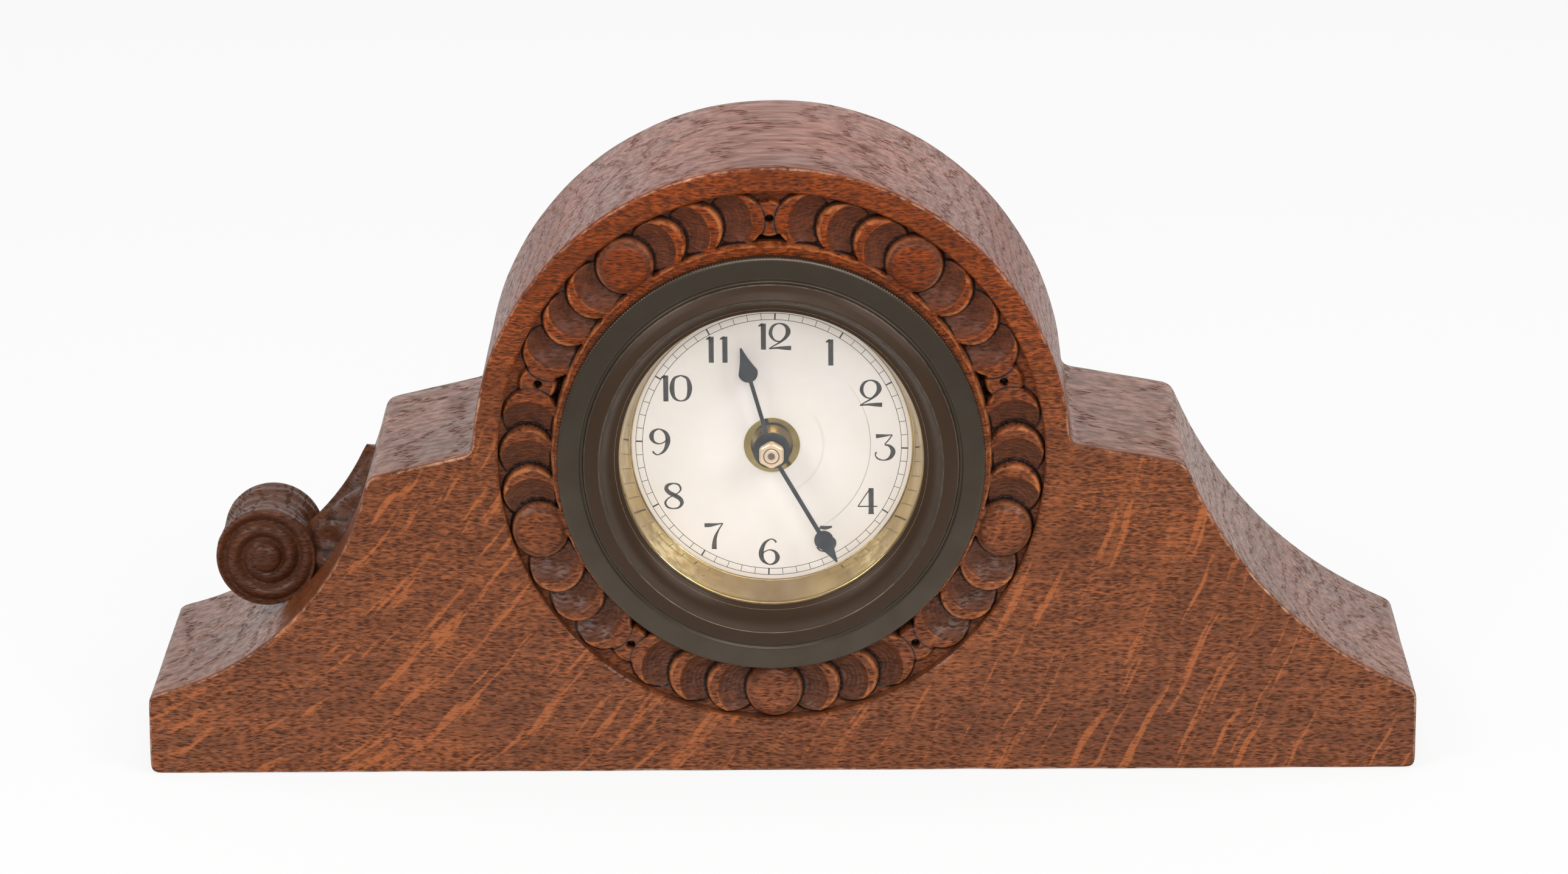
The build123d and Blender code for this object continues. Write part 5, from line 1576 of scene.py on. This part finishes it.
def make_dial():
    material, tree = new_finish("silvered_dial")
    place = place_in(tree)
    x, _, z = axes(place)
    reach, turn = polar(x - dial_x, z - dial_z)
    cloud = noise(place, 14.0, 4.0, 0.55)
    grain = noise(place, 0.5, 3.0, 0.6)

    def rubbed(radius, width, start, stop):
        """A soft ring of that radius, fading out beyond two turns."""
        ring = (reach - radius * MM).calc("ABSOLUTE").ramp(width * MM, 0.0)
        lit = turn.ramp(start - rub_fade, start + rub_fade) * turn.ramp(stop + rub_fade, stop - rub_fade)
        return ring * (lit * cloud.ramp(0.3, 0.55, 0.4, 1.0))

    colour = tint(cloud.ramp(0.4, 0.7, 0.0, 0.6), dial_white, dial_yellow)
    for share, shade in (
        (reach.ramp(dial_edge[0] * MM, dial_edge[1] * MM, 0.0, 0.35), (0.62, 0.52, 0.38)),
        (rubbed(rub_radius, rub_width, -0.95, 0.55) * 0.75, (0.16, 0.14, 0.12)),
        (rubbed(faint_radius, faint_width, -1.2, 0.6) * 0.2, (0.4, 0.37, 0.33)),
        (grain.ramp(0.66, 0.74, 0.0, 0.18), (0.5, 0.45, 0.38)),
    ):
        colour = tint(share, colour, shade)
    paint(tree, {"Base Color": colour, "Roughness": cloud.ramp(0.3, 0.7, 0.42, 0.55)}, grain, 0.004)
    return material


def make_print():
    material, tree = new_finish("dial_print")
    thin = noise(place_in(tree), 0.6, 4.0, 0.65)
    colour = tint(thin.ramp(0.5, 0.75), (0.03, 0.029, 0.028), (0.11, 0.10, 0.09))
    paint(tree, {"Base Color": colour, "Roughness": thin.ramp(0.3, 0.7, 0.4, 0.6)})
    return material


def make_glass():
    material, tree = new_finish("clear_glass")
    dust_sheen_and_shade = noise(place_in(tree), 5.0, 4.0, 0.6)
    paint(tree, {
        "Base Color": (0.95, 0.97, 0.97), "Alpha": dust_sheen_and_shade.ramp(0.45, 0.8, 0.025, 0.05),
        "Roughness": dust_sheen_and_shade.ramp(0.4, 0.8, 0.02, 0.12),
    })
    return material


finishes["silvered_dial"] = make_dial()
finishes["glass"] = make_glass()
dial_print = make_print()

# %% Give every piece its finish
def dress(piece, material):
    piece.data.materials.clear()
    piece.data.materials.append(material)


for row in frame["record"]["subparts"]:
    dress(frame["nodes"][row["node"]], finishes[row["material_slot"]])
for piece, material in (
    (oak_block, finishes["oak"]), (carved_ring, ring_oak), (leaf_scroll, finishes["carved_oak"]),
    (milled_bezel, finishes["bronze"]), (sight_ring, finishes["sight_brass"]),
    (hand_nut, finishes["nut_brass"]), (set_knob, finishes["brass"]),
    (dial_figures, dial_print), (minute_track, dial_print),
):
    dress(piece, material)

# %% [markdown]
# ## Floor and light
#
# The clock stands on white, lit softly from both sides, and everything behind it is white too: that is
# why the top of the drum, seen at a low angle, shines pale grey. So the surroundings are white for what
# the camera sees and for reflections from behind. Above they are dim, and in front, where the
# photographer stands, darker still. Two large lamps to the left and right give the light its shape, two
# more in front and above fill it in, and their reflections make the bright streaks in the bezel.

# %% Surroundings
ambient_level = 0.36
front_gloss_level = 0.22
behind_limits = (-0.35, 0.15)
ceiling_limits = (0.45, 0.85)
ceiling_share = 0.3


def make_world():
    world = bpy.data.worlds.new("white_studio")
    bpy.context.scene.world = world
    world.use_nodes = True
    tree = world.node_tree
    path = add(tree, "ShaderNodeLightPath")
    _, ahead, above = axes(add(tree, "ShaderNodeTexCoord")["Generated"])
    behind = ahead.ramp(*behind_limits).calc("MAXIMUM", above.ramp(*ceiling_limits, 0.0, ceiling_share))
    shine = behind.ramp(0.0, 1.0, front_gloss_level, 1.0)
    mirrored = path["Is Glossy Ray"].calc("MAXIMUM", path["Is Transmission Ray"])
    level = mirrored * (shine - ambient_level) + ambient_level
    level = level.calc("MAXIMUM", path["Is Camera Ray"])
    join(tree.nodes["Background"], {"Strength": level, "Color": (1, 1, 1)})


make_world()
print("surroundings give light at", ambient_level)

# %% Floor
floor_reach = 6.0
floor_dimming = (-0.12, -0.45)
floor_seen_share = 0.85


def make_floor():
    reach, level = floor_reach, case_low.z
    mesh = bpy.data.meshes.new("floor")
    corners = [(-reach, -reach, level), (reach, -reach, level), (reach, reach, level), (-reach, reach, level)]
    mesh.from_pydata(corners, [], [(0, 1, 2, 3)])
    floor = bpy.data.objects.new("floor", mesh)
    bpy.context.scene.collection.objects.link(floor)
    material, tree = new_finish("white_floor")
    path = add(tree, "ShaderNodeLightPath")
    _, ahead, _ = axes(place_in(tree))
    dimmed = path["Is Glossy Ray"] * ahead.ramp(*floor_dimming)
    paint(tree, {"Base Color": tint(dimmed, (0.9, 0.9, 0.9), (0.12, 0.12, 0.12)), "Roughness": 0.8})
    white = add(tree, "ShaderNodeEmission", {"Color": (1, 1, 1), "Strength": 1.0})[0]
    lit = wires(tree.nodes["Principled BSDF"])[0]
    seen = path["Is Camera Ray"] * floor_seen_share
    mixed = add(tree, "ShaderNodeMixShader", {0: seen, 1: lit, 2: white})[0]
    join(tree.nodes["Material Output"], {"Surface": mixed})
    dress(floor, material)
    floor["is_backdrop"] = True


make_floor()
print("floor", 2 * floor_reach, "metres across")

# %% Lamps
lamp_size = 0.9
lamps = {
    "left_lamp": ((-1.15, -1.05, 1.25), 13.0),
    "right_lamp": ((1.15, -1.0, 1.2), 13.0),
    "front_lamp": ((0.1, -1.9, 0.85), 12.5),
    "top_lamp": ((0.0, 0.25, 1.7), 5.0),
}


def make_lamps():
    aim = Vector((dial_x, case_low.y, dial_z))
    for name, (place, power) in lamps.items():
        light = bpy.data.lights.new(name, "AREA")
        light.size = lamp_size
        light.energy = power
        lamp = bpy.data.objects.new(name, light)
        lamp.location = place
        lamp.rotation_euler = (aim - Vector(place)).to_track_quat("-Z", "Y").to_euler()
        bpy.context.scene.collection.objects.link(lamp)


make_lamps()
bpy.context.scene.view_settings.view_transform = "Standard"
print("lamps:", [*lamps])

# %% [markdown]
# ## Size after dressing
#
# Dressing must not change the clock's size, so the box of the loaded pieces and the box of the dressed
# clock are both measured, and how far each side moved is printed.

# %% Sizes and finish
final_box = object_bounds()
growth = zip([*loaded_box[0], *loaded_box[1]], [*final_box[0], *final_box[1]])
print("grew by", [round((after - before) / MM, 2) for before, after in growth])
